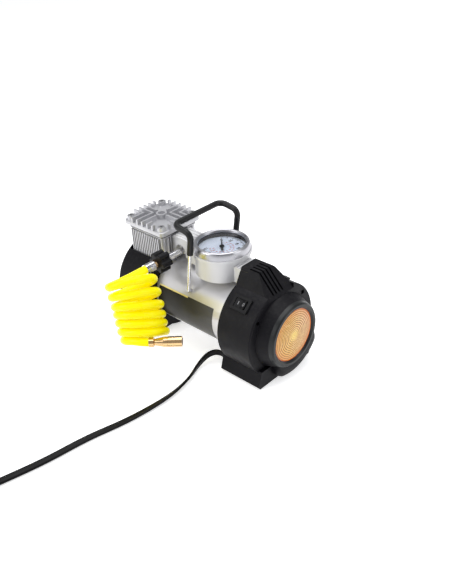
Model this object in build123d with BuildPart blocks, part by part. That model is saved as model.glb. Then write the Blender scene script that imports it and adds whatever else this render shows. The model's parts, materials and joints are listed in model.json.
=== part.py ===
from build123d import *
import math
import os

os.makedirs("parts", exist_ok=True)

# Portable tyre inflator: a 12 V motor in a steel can drives a one-cylinder compressor.
# Millimetres. X runs along the motor towards the lamp, Z is up, and the floor is z = 0.
# The origin is on the floor, under the middle of the carrying handle.

# ---------------------------------------------------------------- driving dimensions
AXIS_Z = 51.0            # height of the motor axis
DRUM_R = 49.0            # outside radius of the two plastic end housings
HOUSING_WALL = 2.6
CAN_R = 38.0             # outside radius of the motor can
CAN_WALL = 2.4
CAN_X0, CAN_X1 = -54.0, 50.0         # ends of the motor can
FRONT_X0, FRONT_X1 = 48.0, 90.0      # front housing drum
REAR_X0, REAR_X1 = -108.0, -54.0     # rear cover drum
BEZEL_X = 107.0          # front face of the lamp bezel
CYL_X = -76.0            # cylinder axis
SHAFT_R = 4.0
FIT = 0.05               # radial clearance of a running fit
GAP = 0.3                # clearance between curved faces of different bodies
THROW = 7.0              # half the piston stroke
BORE_R = 12.0            # cylinder bore
BLOCK_Z0, BLOCK_Z1 = 87.0, 117.0     # ribbed cylinder block
HEAD_HALF_X, HEAD_HALF_Y = 30.5, 29.0
RIM_Z = 126.5            # top of the head's rim
FIN_H = 5.5
GAUGE_X = 13.0
GAUGE_Z = 118.0          # shoulder of the gauge cup, under the bezel
GAUGE_R = 30.0
BRIDGE_HALF_Y = 12.0     # half width of the arm between head, gauge and housing
OUTLET_X, OUTLET_Z = -37.0, 102.5    # axis of the air outlet, which points to -Y
TOWER_TOP = 113.0
TOWER_X = 70.0           # where the tower's top turns down into its slope
HANDLE_Y = 34.0          # half the span of the carrying handle
HANDLE_X, HANDLE_Z = -6.0, 74.0      # the handle's pivot
WIRE_R = 1.9
GRIP_R = 3.2
HOSE_R = 4.3
CORD_R = 2.4


def motor_plane(x):
    """Plane square to the motor axis at x, with local x = Y and local y = Z."""
    return Plane(origin=(x, 0, AXIS_Z), x_dir=(0, 1, 0), z_dir=(1, 0, 0))


def on_axis():
    """The motor axis, for revolved pieces."""
    return Axis((0, 0, AXIS_Z), (1, 0, 0))


def polar(radius, degrees):
    """Point on a circle."""
    return (radius * math.cos(math.radians(degrees)), radius * math.sin(math.radians(degrees)))


# ---------------------------------------------------------------- motor
with BuildPart() as motor_can:
    with BuildSketch(motor_plane(CAN_X0)):
        Circle(CAN_R)
        Circle(CAN_R - CAN_WALL, mode=Mode.SUBTRACT)
    extrude(amount=CAN_X1 - CAN_X0)
    # a hole in each flank takes the hooked end of the handle wire
    with BuildSketch(Plane.XZ.offset(-CAN_R)):
        with Locations((HANDLE_X, HANDLE_Z)):
            Circle(WIRE_R + FIT)
    extrude(amount=2 * CAN_R, mode=Mode.SUBTRACT)
motor_can.part.label = "motor_can"
export_step(motor_can.part, "parts/motor_can.step")

MAGNET_IN = 30.5
MAGNET_HALF_DEG = 26.0
with BuildPart() as field_magnets:
    with BuildSketch(motor_plane(-28)):
        for centre in range(0, 360, 90):
            with BuildLine():
                a0, a1 = centre - MAGNET_HALF_DEG, centre + MAGNET_HALF_DEG
                outer = CAN_R - CAN_WALL
                ThreePointArc(polar(outer, a0), polar(outer, centre), polar(outer, a1))
                Line(polar(outer, a1), polar(MAGNET_IN, a1))
                ThreePointArc(polar(MAGNET_IN, a1), polar(MAGNET_IN, centre), polar(MAGNET_IN, a0))
                Line(polar(MAGNET_IN, a0), polar(outer, a0))
            make_face()
    extrude(amount=50)
field_magnets.part.label = "field_magnets"
export_step(field_magnets.part, "parts/field_magnets.step")

with BuildPart() as front_end_bell:
    with BuildSketch(motor_plane(CAN_X1 - 5)):
        Circle(CAN_R - CAN_WALL)
        Circle(SHAFT_R + FIT, mode=Mode.SUBTRACT)
        with PolarLocations(22, 6, 30):
            Circle(5, mode=Mode.SUBTRACT)
    extrude(amount=5)
    with BuildSketch(motor_plane(CAN_X1)):
        Circle(8)
        Circle(SHAFT_R + FIT, mode=Mode.SUBTRACT)
    extrude(amount=3.5)
front_end_bell.part.label = "front_end_bell"
export_step(front_end_bell.part, "parts/front_end_bell.step")

COMM_R = 10.0
with BuildPart() as brush_holder:
    with BuildSketch(motor_plane(30)):
        Circle(CAN_R - CAN_WALL)
        Circle(COMM_R + 4, mode=Mode.SUBTRACT)
    extrude(amount=2)
    for side in (-1, 1):
        with BuildSketch(motor_plane(32)):
            with Locations((side * 21, 0)):
                Rectangle(12, 9)
                Rectangle(12, 5.2, mode=Mode.SUBTRACT)
        extrude(amount=6)
brush_holder.part.label = "brush_holder"
export_step(brush_holder.part, "parts/brush_holder.step")

with BuildPart() as carbon_brushes:
    for side in (-1, 1):
        with BuildSketch(motor_plane(32.2)):
            with Locations((side * (COMM_R + GAP + 6), 0)):
                Rectangle(12, 5)
            Circle(COMM_R + GAP, mode=Mode.SUBTRACT)
        extrude(amount=5.6)
carbon_brushes.part.label = "carbon_brushes"
export_step(carbon_brushes.part, "parts/carbon_brushes.step")

SLOTS = 10
CORE_R = 29.8
with BuildPart() as armature_core:
    with BuildSketch(motor_plane(-26)):
        Circle(CORE_R)
        Circle(SHAFT_R, mode=Mode.SUBTRACT)
        with PolarLocations(CORE_R - 8.5, SLOTS):
            SlotCenterToCenter(7, 6, mode=Mode.SUBTRACT)
        with PolarLocations(CORE_R - 1, SLOTS):
            Rectangle(6, 2, mode=Mode.SUBTRACT)
    extrude(amount=44)
armature_core.part.label = "armature_core"
export_step(armature_core.part, "parts/armature_core.step")

with BuildPart() as armature_windings:
    with BuildSketch(motor_plane(-26)):
        with PolarLocations(CORE_R - 8.5, SLOTS):
            SlotCenterToCenter(7, 5.6)
    extrude(amount=44)
    for x0 in (-35, 18):
        with BuildSketch(motor_plane(x0)):
            Circle(26)
            Circle(COMM_R + 2, mode=Mode.SUBTRACT)
        extrude(amount=9)
    fillet(armature_windings.edges().filter_by(GeomType.CIRCLE).group_by(Axis.X)[0], 3.5)
armature_windings.part.label = "armature_windings"
export_step(armature_windings.part, "parts/armature_windings.step")

with BuildPart() as commutator:
    with BuildSketch(motor_plane(27.5)):
        Circle(COMM_R)
        Circle(SHAFT_R, mode=Mode.SUBTRACT)
        with PolarLocations(COMM_R, SLOTS):
            Rectangle(3, 0.8, mode=Mode.SUBTRACT)
    extrude(amount=12)
commutator.part.label = "commutator"
export_step(commutator.part, "parts/commutator.step")

with BuildPart() as motor_shaft:
    with BuildSketch(motor_plane(-70)):
        Circle(SHAFT_R)
    extrude(amount=139)
    chamfer(motor_shaft.edges().group_by(Axis.X)[-1], 0.6)
motor_shaft.part.label = "motor_shaft"
export_step(motor_shaft.part, "parts/motor_shaft.step")

FAN_X0 = 54.0
FAN_BLADES = 9
with BuildPart() as cooling_fan:
    with BuildSketch(motor_plane(FAN_X0)):
        Circle(34)
        Circle(SHAFT_R, mode=Mode.SUBTRACT)
    extrude(amount=1.6)
    with BuildSketch(motor_plane(FAN_X0)):
        Circle(9)
        Circle(SHAFT_R, mode=Mode.SUBTRACT)
    extrude(amount=12)
    with BuildSketch(motor_plane(FAN_X0)):
        for i in range(FAN_BLADES):
            a = 360 / FAN_BLADES * i
            with BuildLine():
                ThreePointArc(polar(8, a), polar(22, a + 14), polar(34, a + 42))
                Line(polar(34, a + 42), polar(34, a + 45))
                ThreePointArc(polar(34, a + 45), polar(22, a + 19), polar(8, a + 10))
                Line(polar(8, a + 10), polar(8, a))
            make_face()
    extrude(amount=11)
cooling_fan.part.label = "cooling_fan"
export_step(cooling_fan.part, "parts/cooling_fan.step")

# ---------------------------------------------------------------- compressor
BLOCK_R = 36.0           # crankcase barrel
with BuildPart() as crankcase:
    with BuildSketch(motor_plane(-98)):
        Circle(BLOCK_R)
    extrude(amount=98 + CAN_X0)
    with BuildSketch(motor_plane(CAN_X0)):
        Circle(CAN_R - CAN_WALL)
    extrude(amount=5)
    with BuildSketch(Plane.XY.offset(AXIS_Z)):
        with Locations((CYL_X, 0)):
            Rectangle(44, 46)
    extrude(amount=BLOCK_Z0 - AXIS_Z)
    with BuildSketch(motor_plane(-92)):
        Circle(BLOCK_R - 5)
    extrude(amount=33, mode=Mode.SUBTRACT)
    # well for the cylinder and bore for the rear bearing
    with BuildSketch(Plane.XY.offset(AXIS_Z)):
        with Locations((CYL_X, 0)):
            Circle(BORE_R + 3)
    extrude(amount=BLOCK_Z0 - AXIS_Z, mode=Mode.SUBTRACT)
    with BuildSketch(motor_plane(-58)):
        Circle(11)
    extrude(amount=20, mode=Mode.SUBTRACT)
    with BuildSketch(motor_plane(-60)):
        Circle(7.5)
    extrude(amount=20, mode=Mode.SUBTRACT)
crankcase.part.label = "crankcase"
export_step(crankcase.part, "parts/crankcase.step")

with BuildPart() as rear_bearing:
    with BuildSketch(motor_plane(-58)):
        Circle(11)
        Circle(SHAFT_R + FIT, mode=Mode.SUBTRACT)
    extrude(amount=7)
    with BuildSketch(motor_plane(-52)):
        Circle(9.2)
        Circle(5.8, mode=Mode.SUBTRACT)
    extrude(amount=1, mode=Mode.SUBTRACT)
rear_bearing.part.label = "rear_bearing"
export_step(rear_bearing.part, "parts/rear_bearing.step")

PIN_X0, PIN_X1 = CYL_X - 4, CYL_X + 4    # crank pin bearing, centred on the cylinder
PIN_R = 6.0
with BuildPart() as crank_disc:
    with BuildSketch(motor_plane(PIN_X1 + GAP)):
        Circle(24)
        with Locations((0, -16)):
            Rectangle(50, 30, mode=Mode.INTERSECT)
        Circle(13)
        Circle(SHAFT_R, mode=Mode.SUBTRACT)
    extrude(amount=9)
crank_disc.part.label = "crank_disc"
export_step(crank_disc.part, "parts/crank_disc.step")

with BuildPart() as crank_pin_bearing:
    with BuildSketch(motor_plane(PIN_X0)):
        with Locations((0, THROW)):
            Circle(PIN_R)
    extrude(amount=PIN_X1 - PIN_X0)
    chamfer(crank_pin_bearing.edges().group_by(Axis.X)[-1], 0.5)
crank_pin_bearing.part.label = "crank_pin_bearing"
export_step(crank_pin_bearing.part, "parts/crank_pin_bearing.step")

CROWN_Z = 112.0          # top of the piston at rest, the top of its stroke
with BuildPart() as piston_rod:
    with BuildSketch(motor_plane(PIN_X0)):
        with Locations((0, THROW)):
            Circle(9)
        with BuildLine():
            shank_top = CROWN_Z - 5 - AXIS_Z
            Polyline((-5, THROW + 4), (5, THROW + 4), (3.5, shank_top), (-3.5, shank_top), close=True)
        make_face()
        with Locations((0, THROW)):
            Circle(PIN_R + FIT, mode=Mode.SUBTRACT)
    extrude(amount=PIN_X1 - PIN_X0)
    with BuildSketch(Plane.XY.offset(CROWN_Z - 6)):
        with Locations(((PIN_X0 + PIN_X1) / 2, 0)):
            Circle(BORE_R - 0.6)
    extrude(amount=3)
    with BuildSketch(Plane.XY.offset(CROWN_Z - 3)):
        with Locations(((PIN_X0 + PIN_X1) / 2, 0)):
            Circle(BORE_R - 2.5)
    extrude(amount=3)
piston_rod.part.label = "piston_rod"
export_step(piston_rod.part, "parts/piston_rod.step")

with BuildPart() as piston_seal:
    with BuildSketch(Plane.XY.offset(CROWN_Z - 3)):
        with Locations(((PIN_X0 + PIN_X1) / 2, 0)):
            Circle(BORE_R - FIT)
            Circle(BORE_R - 2.5, mode=Mode.SUBTRACT)
    extrude(amount=3.4)
piston_seal.part.label = "piston_seal"
export_step(piston_seal.part, "parts/piston_seal.step")

RIB_COUNT = 17
RIB_PITCH = 3.0
with BuildPart() as cylinder_block:
    with BuildSketch(Plane.XY.offset(BLOCK_Z0)):
        with Locations((CYL_X, 0)):
            RectangleRounded(49, 46, 4)
    with BuildSketch(Plane.XY.offset(BLOCK_Z1)):
        with Locations((CYL_X, 0)):
            RectangleRounded(52, 49, 4)
    loft()
    # upright ribs along the two long flanks and across the rear face
    with BuildSketch(Plane.XY.offset(BLOCK_Z0)):
        with Locations((CYL_X, 0)):
            with GridLocations(RIB_PITCH, 49.6, RIB_COUNT - 2, 2):
                Rectangle(1.3, 4.4)
            with GridLocations(52.6, RIB_PITCH, 2, RIB_COUNT - 4):
                Rectangle(4.4, 1.3)
    extrude(amount=BLOCK_Z1 - BLOCK_Z0)
    with BuildSketch(Plane.XY.offset(BLOCK_Z0)):
        with Locations((CYL_X, 0)):
            Circle(BORE_R)
    extrude(amount=BLOCK_Z1 - BLOCK_Z0, mode=Mode.SUBTRACT)
    # the front ribs are cut away over the end of the motor can
    with BuildSketch(motor_plane(CAN_X0 - 0.5)):
        Circle(CAN_R + 0.5)
    extrude(amount=12, mode=Mode.SUBTRACT)
cylinder_block.part.label = "cylinder_block"
export_step(cylinder_block.part, "parts/cylinder_block.step")

SCREW_X, SCREW_Y = 24.0, 22.5        # head screws from the cylinder axis
SCREW_R = 2.0
HEAD_Z0 = BLOCK_Z1 + 2.2
with BuildPart() as valve_plate:
    with BuildSketch(Plane.XY.offset(BLOCK_Z1)):
        with Locations((CYL_X, 0)):
            RectangleRounded(54, 51, 4)
            with GridLocations(8, 8, 2, 1):
                Circle(2, mode=Mode.SUBTRACT)
            with GridLocations(2 * SCREW_X, 2 * SCREW_Y, 2, 2):
                Circle(SCREW_R, mode=Mode.SUBTRACT)
    extrude(amount=1.4)
valve_plate.part.label = "valve_plate"
export_step(valve_plate.part, "parts/valve_plate.step")

with BuildPart() as head_gasket:
    with BuildSketch(Plane.XY.offset(BLOCK_Z1 + 1.4)):
        with Locations((CYL_X, 0)):
            RectangleRounded(54, 51, 4)
            RectangleRounded(36, 30, 6, mode=Mode.SUBTRACT)
            with GridLocations(2 * SCREW_X, 2 * SCREW_Y, 2, 2):
                Circle(SCREW_R, mode=Mode.SUBTRACT)
    extrude(amount=0.8)
head_gasket.part.label = "head_gasket"
export_step(head_gasket.part, "parts/head_gasket.step")

with BuildPart() as reed_valves:
    for side in (-1, 1):
        with BuildSketch(Plane.XY.offset(BLOCK_Z1 + 1.4)):
            with Locations((CYL_X + side * 4, 3)):
                SlotOverall(16, 6, rotation=90)
        extrude(amount=0.3)
reed_valves.part.label = "reed_valves"
export_step(reed_valves.part, "parts/reed_valves.step")

# Cooling fins of the head. Three nested L shapes wrap each of two opposite corners: each
# starts square to one edge, turns once and runs out over the next edge. Shorter straight
# fins fill the rest of each edge. A round boss stands in the middle and one in each corner.
FIN_T = 2.0
FIN_INSET, FIN_PITCH_X, FIN_PITCH_Y = 15.0, 8.0, 6.8
BOSS_R = 5.2


def fin_lines(step, corner):
    """Lines of the fins at one step from the corner (-1 or 1) that they belong to."""
    x_edge, y_edge = corner * HEAD_HALF_X, corner * HEAD_HALF_Y
    x = x_edge - corner * (FIN_INSET + FIN_PITCH_X * step)
    y = y_edge - corner * (FIN_INSET + 1.5 + FIN_PITCH_Y * step)
    if step < 3:
        return [[(x, y_edge), (x, y), (x_edge, y)]]
    reach = 20.0 - 4.0 * step
    return [[(x, y_edge), (x, y_edge - corner * reach)], [(x_edge, y), (x_edge - corner * reach, y)]]


head_plane = Plane(origin=(CYL_X, 0, RIM_Z), z_dir=(0, 0, 1))
with BuildPart() as cylinder_head:
    # plate with a thicker rounded rim standing proud of the block
    with BuildSketch(Plane.XY.offset(HEAD_Z0)):
        with Locations((CYL_X, 0)):
            RectangleRounded(54, 51, 4)
    extrude(amount=RIM_Z - 4.5 - HEAD_Z0)
    with BuildSketch(Plane.XY.offset(RIM_Z - 4.5)):
        with Locations((CYL_X, 0)):
            RectangleRounded(2 * HEAD_HALF_X, 2 * HEAD_HALF_Y, 5)
    extrude(amount=4.5)
    fillet(cylinder_head.edges().group_by(Axis.Z)[-1], 1.2)
    for corner in (-1, 1):
        for step in range(5):
            for line in fin_lines(step, corner):
                with BuildSketch(head_plane.offset(-1.5)):
                    with BuildLine():
                        Polyline(*line)
                    trace(line_width=FIN_T)
                extrude(amount=FIN_H + 1.5)
    # keep the corner bosses and the middle boss free of fins
    with BuildSketch(head_plane):
        Circle(8.5)
        with GridLocations(2 * SCREW_X, 2 * SCREW_Y, 2, 2):
            Circle(6.6)
    extrude(amount=FIN_H + 1, mode=Mode.SUBTRACT)
    with BuildSketch(head_plane.offset(-1)):
        with GridLocations(2 * SCREW_X, 2 * SCREW_Y, 2, 2):
            Circle(BOSS_R)
    extrude(amount=5, taper=8)
    with BuildSketch(head_plane.offset(-1)):
        Circle(6.5)
    extrude(amount=6, taper=5)
    with BuildSketch(head_plane.offset(2)):
        Circle(4)
    extrude(amount=4, mode=Mode.SUBTRACT)
    # sink the screw heads into their bosses
    with BuildSketch(head_plane.offset(1.2)):
        with GridLocations(2 * SCREW_X, 2 * SCREW_Y, 2, 2):
            Circle(3.6)
    extrude(amount=5, mode=Mode.SUBTRACT)
    with BuildSketch(Plane.XY.offset(HEAD_Z0)):
        with Locations((CYL_X, 0)):
            with GridLocations(2 * SCREW_X, 2 * SCREW_Y, 2, 2):
                Circle(SCREW_R)
    extrude(amount=20, mode=Mode.SUBTRACT)
cylinder_head.part.label = "cylinder_head"
export_step(cylinder_head.part, "parts/cylinder_head.step")

with BuildPart() as head_screws:
    with BuildSketch(Plane.XY.offset(HEAD_Z0 - 2.2)):
        with Locations((CYL_X, 0)):
            with GridLocations(2 * SCREW_X, 2 * SCREW_Y, 2, 2):
                Circle(SCREW_R)
    extrude(amount=RIM_Z + 1.2 - HEAD_Z0 + 2.2)
    with BuildSketch(head_plane.offset(1.2)):
        with GridLocations(2 * SCREW_X, 2 * SCREW_Y, 2, 2):
            Circle(3.5)
            RegularPolygon(1.7, 6, mode=Mode.SUBTRACT)
    extrude(amount=3.2)
    with BuildSketch(head_plane.offset(1.2)):
        with GridLocations(2 * SCREW_X, 2 * SCREW_Y, 2, 2):
            Circle(3.4)
    extrude(amount=1)
head_screws.part.label = "head_screws"
export_step(head_screws.part, "parts/head_screws.step")

# ---------------------------------------------------------------- gauge and its bridge
BRIDGE_Z0 = 93.0
BRIDGE_TOP = 118.0
CUP_R = 28.6
HEAD_SIDE_X = CYL_X + 28.5          # outer faces of the block's ribs
NECK_TOP = GAUGE_Z - 8.0
with BuildPart() as gauge_bridge:
    # round cup with a wider shoulder for the bezel
    with BuildSketch(Plane.XY.offset(BRIDGE_Z0)):
        with Locations((GAUGE_X, 0)):
            Circle(CUP_R)
    extrude(amount=GAUGE_Z - BRIDGE_Z0)
    with BuildSketch(Plane.XY.offset(GAUGE_Z - 3)):
        with Locations((GAUGE_X, 0)):
            Circle(GAUGE_R + 0.6)
    extrude(amount=3)
    # arm back to the cylinder head and neck forward into the tower
    with BuildSketch(Plane.XZ.offset(-BRIDGE_HALF_Y)):
        with BuildLine():
            Polyline((HEAD_SIDE_X, 97), (HEAD_SIDE_X, BRIDGE_TOP), (-30, BRIDGE_TOP), (-12, GAUGE_Z - 2),
                     (-12, BRIDGE_Z0), (-27, BRIDGE_Z0), (-27, 97), close=True)
        make_face()
    extrude(amount=2 * BRIDGE_HALF_Y)
    with BuildSketch(Plane.XY.offset(BRIDGE_Z0)):
        with Locations((GAUGE_X + 30, 0)):
            Rectangle(28, 2 * BRIDGE_HALF_Y - 1)
    extrude(amount=NECK_TOP - BRIDGE_Z0)
    # lengthwise ribs on the arm's top, cross ribs on the neck's top
    with BuildSketch(Plane.XY.offset(BRIDGE_TOP - 0.2)):
        with Locations((-34, 0)):
            with GridLocations(1, 4.4, 1, 5):
                Rectangle(22, 1.6)
    extrude(amount=1.4)
    with BuildSketch(Plane.XY.offset(NECK_TOP - 0.2)):
        with Locations((GAUGE_X + 29, 0)):
            with GridLocations(3.6, 1, 3, 1):
                Rectangle(1.6, 2 * BRIDGE_HALF_Y - 1)
    extrude(amount=1.4)
    # the well for the gauge movement
    with BuildSketch(Plane.XY.offset(BRIDGE_Z0 + 3)):
        with Locations((GAUGE_X, 0)):
            Circle(25.6)
    extrude(amount=30, mode=Mode.SUBTRACT)
    # arched recess and seat for the outlet pipe in the near flank
    with BuildSketch(Plane.XZ.offset(BRIDGE_HALF_Y - 5)):
        with Locations((OUTLET_X, OUTLET_Z)):
            Circle(7.5)
        with Locations((OUTLET_X, OUTLET_Z - 7)):
            Rectangle(15, 14)
    extrude(amount=6, mode=Mode.SUBTRACT)
    with BuildSketch(Plane.XZ.offset(BRIDGE_HALF_Y - 9)):
        with Locations((OUTLET_X, OUTLET_Z)):
            Circle(3.6)
    extrude(amount=6, mode=Mode.SUBTRACT)
gauge_bridge.part.label = "gauge_bridge"
export_step(gauge_bridge.part, "parts/gauge_bridge.step")

BEZEL_TOP = 126.0
DIAL_Z = GAUGE_Z - 1.0
GLASS_Z = BEZEL_TOP - 3.0
with BuildPart() as gauge_bezel:
    with BuildSketch(Plane.XZ):
        with BuildLine():
            Polyline((GAUGE_X + 25.6, GAUGE_Z), (GAUGE_X + 29.6, GAUGE_Z), (GAUGE_X + 28.6, BEZEL_TOP - 1.5),
                     (GAUGE_X + 27.6, BEZEL_TOP), (GAUGE_X + 25.4, BEZEL_TOP),
                     (GAUGE_X + 24.6, BEZEL_TOP - 1),
                     (GAUGE_X + 24.6, GLASS_Z), (GAUGE_X + 25.6, GLASS_Z), close=True)
        make_face()
    revolve(axis=Axis((GAUGE_X, 0, 0), (0, 0, 1)))
gauge_bezel.part.label = "gauge_bezel"
export_step(gauge_bezel.part, "parts/gauge_bezel.step")

with BuildPart() as gauge_lens:
    with BuildSketch(Plane.XY.offset(GLASS_Z - 1.6)):
        with Locations((GAUGE_X, 0)):
            Circle(25.6)
    extrude(amount=1.6)
gauge_lens.part.label = "gauge_lens"
export_step(gauge_lens.part, "parts/gauge_lens.step")

with BuildPart() as gauge_dial:
    with BuildSketch(Plane.XY.offset(DIAL_Z - 0.8)):
        with Locations((GAUGE_X, 0)):
            Circle(25.6)
            Circle(1.6, mode=Mode.SUBTRACT)
    extrude(amount=0.8)
gauge_dial.part.label = "gauge_dial"
export_step(gauge_dial.part, "parts/gauge_dial.step")

NEEDLE_LEN = 18.0
with BuildPart() as gauge_needle:
    with BuildSketch(Plane.XY.offset(DIAL_Z - 8)):
        with Locations((GAUGE_X, 0)):
            Circle(1.2)
    extrude(amount=11)
    with BuildSketch(Plane(origin=(GAUGE_X, 0, DIAL_Z + 1.8), x_dir=(-0.717, 0.697, 0), z_dir=(0, 0, 1))):
        Circle(2.6)
        with BuildLine():
            Polyline((-9, -1.3), (-9, 1.3), (0, 0.9), (NEEDLE_LEN, 0.3), (NEEDLE_LEN, -0.3), (0, -0.9),
                     close=True)
        make_face()
    extrude(amount=0.7)
gauge_needle.part.label = "gauge_needle"
export_step(gauge_needle.part, "parts/gauge_needle.step")

with BuildPart() as bourdon_tube:
    with BuildLine(Plane.XY.offset(BRIDGE_Z0 + 9)) as bourdon_path:
        CenterArc((GAUGE_X, 0), 17, -60, 250)
    with BuildSketch(Plane(origin=bourdon_path.line @ 0, z_dir=bourdon_path.line % 0)):
        Ellipse(1.6, 4)
    sweep()
    with BuildSketch(Plane.XY.offset(BRIDGE_Z0 + 3)):
        with Locations((GAUGE_X + 17 * math.cos(math.radians(-60)), 17 * math.sin(math.radians(-60)))):
            Circle(3.4)
    extrude(amount=10)
bourdon_tube.part.label = "bourdon_tube"
export_step(bourdon_tube.part, "parts/bourdon_tube.step")

# ---------------------------------------------------------------- air outlet and hose fittings
# The outlet points to -Y. Distances along it are counted from the motor's middle plane.
PIPE_Y1 = 47.0
NUT_Y0, NUT_Y1 = 34.0, 46.5
outlet_plane = Plane(origin=(OUTLET_X, 0, OUTLET_Z), x_dir=(1, 0, 0), z_dir=(0, -1, 0))
PIPE_R = 3.2
with BuildPart() as outlet_pipe:
    with BuildSketch(outlet_plane.offset(BRIDGE_HALF_Y - 7)):
        Circle(PIPE_R)
        Circle(2, mode=Mode.SUBTRACT)
    extrude(amount=PIPE_Y1 - BRIDGE_HALF_Y + 7)
    for ring in range(10):
        with BuildSketch(outlet_plane.offset(BRIDGE_HALF_Y + 0.5 + 2 * ring)):
            Circle(PIPE_R + 0.35)
            Circle(2, mode=Mode.SUBTRACT)
        extrude(amount=1.3)
outlet_pipe.part.label = "outlet_pipe"
export_step(outlet_pipe.part, "parts/outlet_pipe.step")

LOBES = 6
with BuildPart() as union_nut:
    with BuildSketch(outlet_plane.offset(NUT_Y0)):
        Circle(8.5)
        with PolarLocations(8.0, LOBES):
            Circle(3.4)
        Circle(PIPE_R + FIT, mode=Mode.SUBTRACT)
    extrude(amount=NUT_Y1 - NUT_Y0)
    chamfer(union_nut.edges().group_by(Axis.Y)[0], 0.8)
union_nut.part.label = "union_nut"
export_step(union_nut.part, "parts/union_nut.step")

NIPPLE_Y1 = 56.0
with BuildPart() as hose_nipple:
    with BuildSketch(outlet_plane.offset(NUT_Y1 + 0.5)):
        RegularPolygon(5.2, 6)
        Circle(2, mode=Mode.SUBTRACT)
    extrude(amount=4)
    with BuildSketch(outlet_plane.offset(NUT_Y1 + 4.5)):
        Circle(3.4)
        Circle(2, mode=Mode.SUBTRACT)
    extrude(amount=NIPPLE_Y1 - NUT_Y1 - 4.5)
hose_nipple.part.label = "hose_nipple"
export_step(hose_nipple.part, "parts/hose_nipple.step")

FERRULE_Y1 = 62.0
with BuildPart() as hose_ferrule:
    with BuildSketch(outlet_plane.offset(NUT_Y1 + 4.5)):
        Circle(5.2)
        Circle(3.4, mode=Mode.SUBTRACT)
    extrude(amount=NIPPLE_Y1 - NUT_Y1 - 4.5)
    with BuildSketch(outlet_plane.offset(NIPPLE_Y1)):
        Circle(5.2)
    extrude(amount=FERRULE_Y1 - NIPPLE_Y1)
    with BuildSketch(outlet_plane.offset(NIPPLE_Y1 + 2)):
        Circle(5.3)
        Circle(4.7, mode=Mode.SUBTRACT)
    extrude(amount=1, mode=Mode.SUBTRACT)
hose_ferrule.part.label = "hose_ferrule"
export_step(hose_ferrule.part, "parts/hose_ferrule.step")

# ---------------------------------------------------------------- recoil hose
# The hose runs straight out of the outlet and hangs there as a stack of close turns. The
# turns' planes rise away from the machine, so the stack is an oblique cylinder.
COIL_R = 22.4            # middle of the turns
COIL_TOP = Vector(-27.5, -90.5, 103.0)
COIL_FOOT = Vector(-23.0, -84.5, 42.0)
COIL_NORMAL = Vector(-0.40, 0.33, 0.85)      # square to the turns


def tangent_radii(points):
    """Radius of each corner: 0.45 of the shorter run over the tangent of half the turn."""
    radii = []
    for a, b, c in zip(points, points[1:], points[2:]):
        run_in = Vector(*b) - Vector(*a)
        run_out = Vector(*c) - Vector(*b)
        half_turn = math.radians(run_in.get_angle(run_out)) / 2
        radii.append(0.45 * min(run_in.length, run_out.length) / math.tan(half_turn))
    return radii


def report_route(name, points, radius, volume, path):
    """Print the bend radii, and the tube's volume against its section times its length."""
    expected = math.pi * radius ** 2 * path.length
    print(name, "radii", [round(r, 1) for r in tangent_radii(points)])
    print(name, "length", round(path.length, 1), "volume ratio", round(volume / expected, 4))


LEAD_POINTS = [
    (OUTLET_X, -FERRULE_Y1, OUTLET_Z),
    (OUTLET_X, -FERRULE_Y1 - 16, OUTLET_Z),
    (OUTLET_X - 1, -FERRULE_Y1 - 33, OUTLET_Z + 0.6),
]
with BuildPart() as air_hose_lead:
    with BuildLine() as lead_path:
        FilletPolyline(*LEAD_POINTS, radius=tangent_radii(LEAD_POINTS))
    with BuildSketch(Plane(origin=lead_path.line @ 0, z_dir=lead_path.line % 0)):
        Circle(HOSE_R)
    sweep()
report_route("air_hose_lead", LEAD_POINTS, HOSE_R, air_hose_lead.part.volume, lead_path.wire())
air_hose_lead.part.label = "air_hose_lead"
export_step(air_hose_lead.part, "parts/air_hose_lead.step")

with BuildPart() as air_hose_coil:
    with BuildSketch(Plane(origin=COIL_FOOT, z_dir=COIL_NORMAL.normalized())):
        Circle(COIL_R + HOSE_R)
    rise = COIL_TOP - COIL_FOOT
    extrude(amount=rise.length, dir=rise.normalized())
air_hose_coil.part.label = "air_hose_coil"
export_step(air_hose_coil.part, "parts/air_hose_coil.step")


# The hose's tail comes round under the lowest full turn and points back along the machine.
TAIL_POINTS = [
    (-38.9, -99.7, 36.5),
    (-33.5, -104.9, 40.5),
    (-23.0, -106.8, 44.5),
    (-12.0, -102.6, 45.8),
    (-3.0, -94.8, 46.0),
]
with BuildPart() as air_hose_tail:
    with BuildLine() as tail_path:
        FilletPolyline(*TAIL_POINTS, radius=tangent_radii(TAIL_POINTS))
    with BuildSketch(Plane(origin=tail_path.line @ 0, z_dir=tail_path.line % 0)):
        Circle(HOSE_R)
    sweep()
report_route("air_hose_tail", TAIL_POINTS, HOSE_R, air_hose_tail.part.volume, tail_path.wire())
air_hose_tail.part.label = "air_hose_tail"
export_step(air_hose_tail.part, "parts/air_hose_tail.step")

# Tyre chuck at the tail's end: distances run along it from the hose's cut end.
chuck_plane = Plane(origin=tail_path.line @ 1, z_dir=tail_path.line % 1)
with BuildPart() as tail_ferrule:
    with BuildSketch(chuck_plane):
        Circle(5)
    extrude(amount=5)
tail_ferrule.part.label = "tail_ferrule"
export_step(tail_ferrule.part, "parts/tail_ferrule.step")

VALVE_R = 3.9            # bore that takes the tyre valve
with BuildPart() as chuck_body:
    with BuildSketch(chuck_plane.offset(5)):
        Circle(3.2)
    with BuildSketch(chuck_plane.offset(15)):
        Circle(5.2)
    loft()
    with BuildSketch(chuck_plane.offset(15)):
        Circle(5.2)
    extrude(amount=4)
    with BuildSketch(chuck_plane.offset(19)):
        Circle(4.4)
    extrude(amount=4)
chuck_body.part.label = "chuck_body"
export_step(chuck_body.part, "parts/chuck_body.step")

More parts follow.
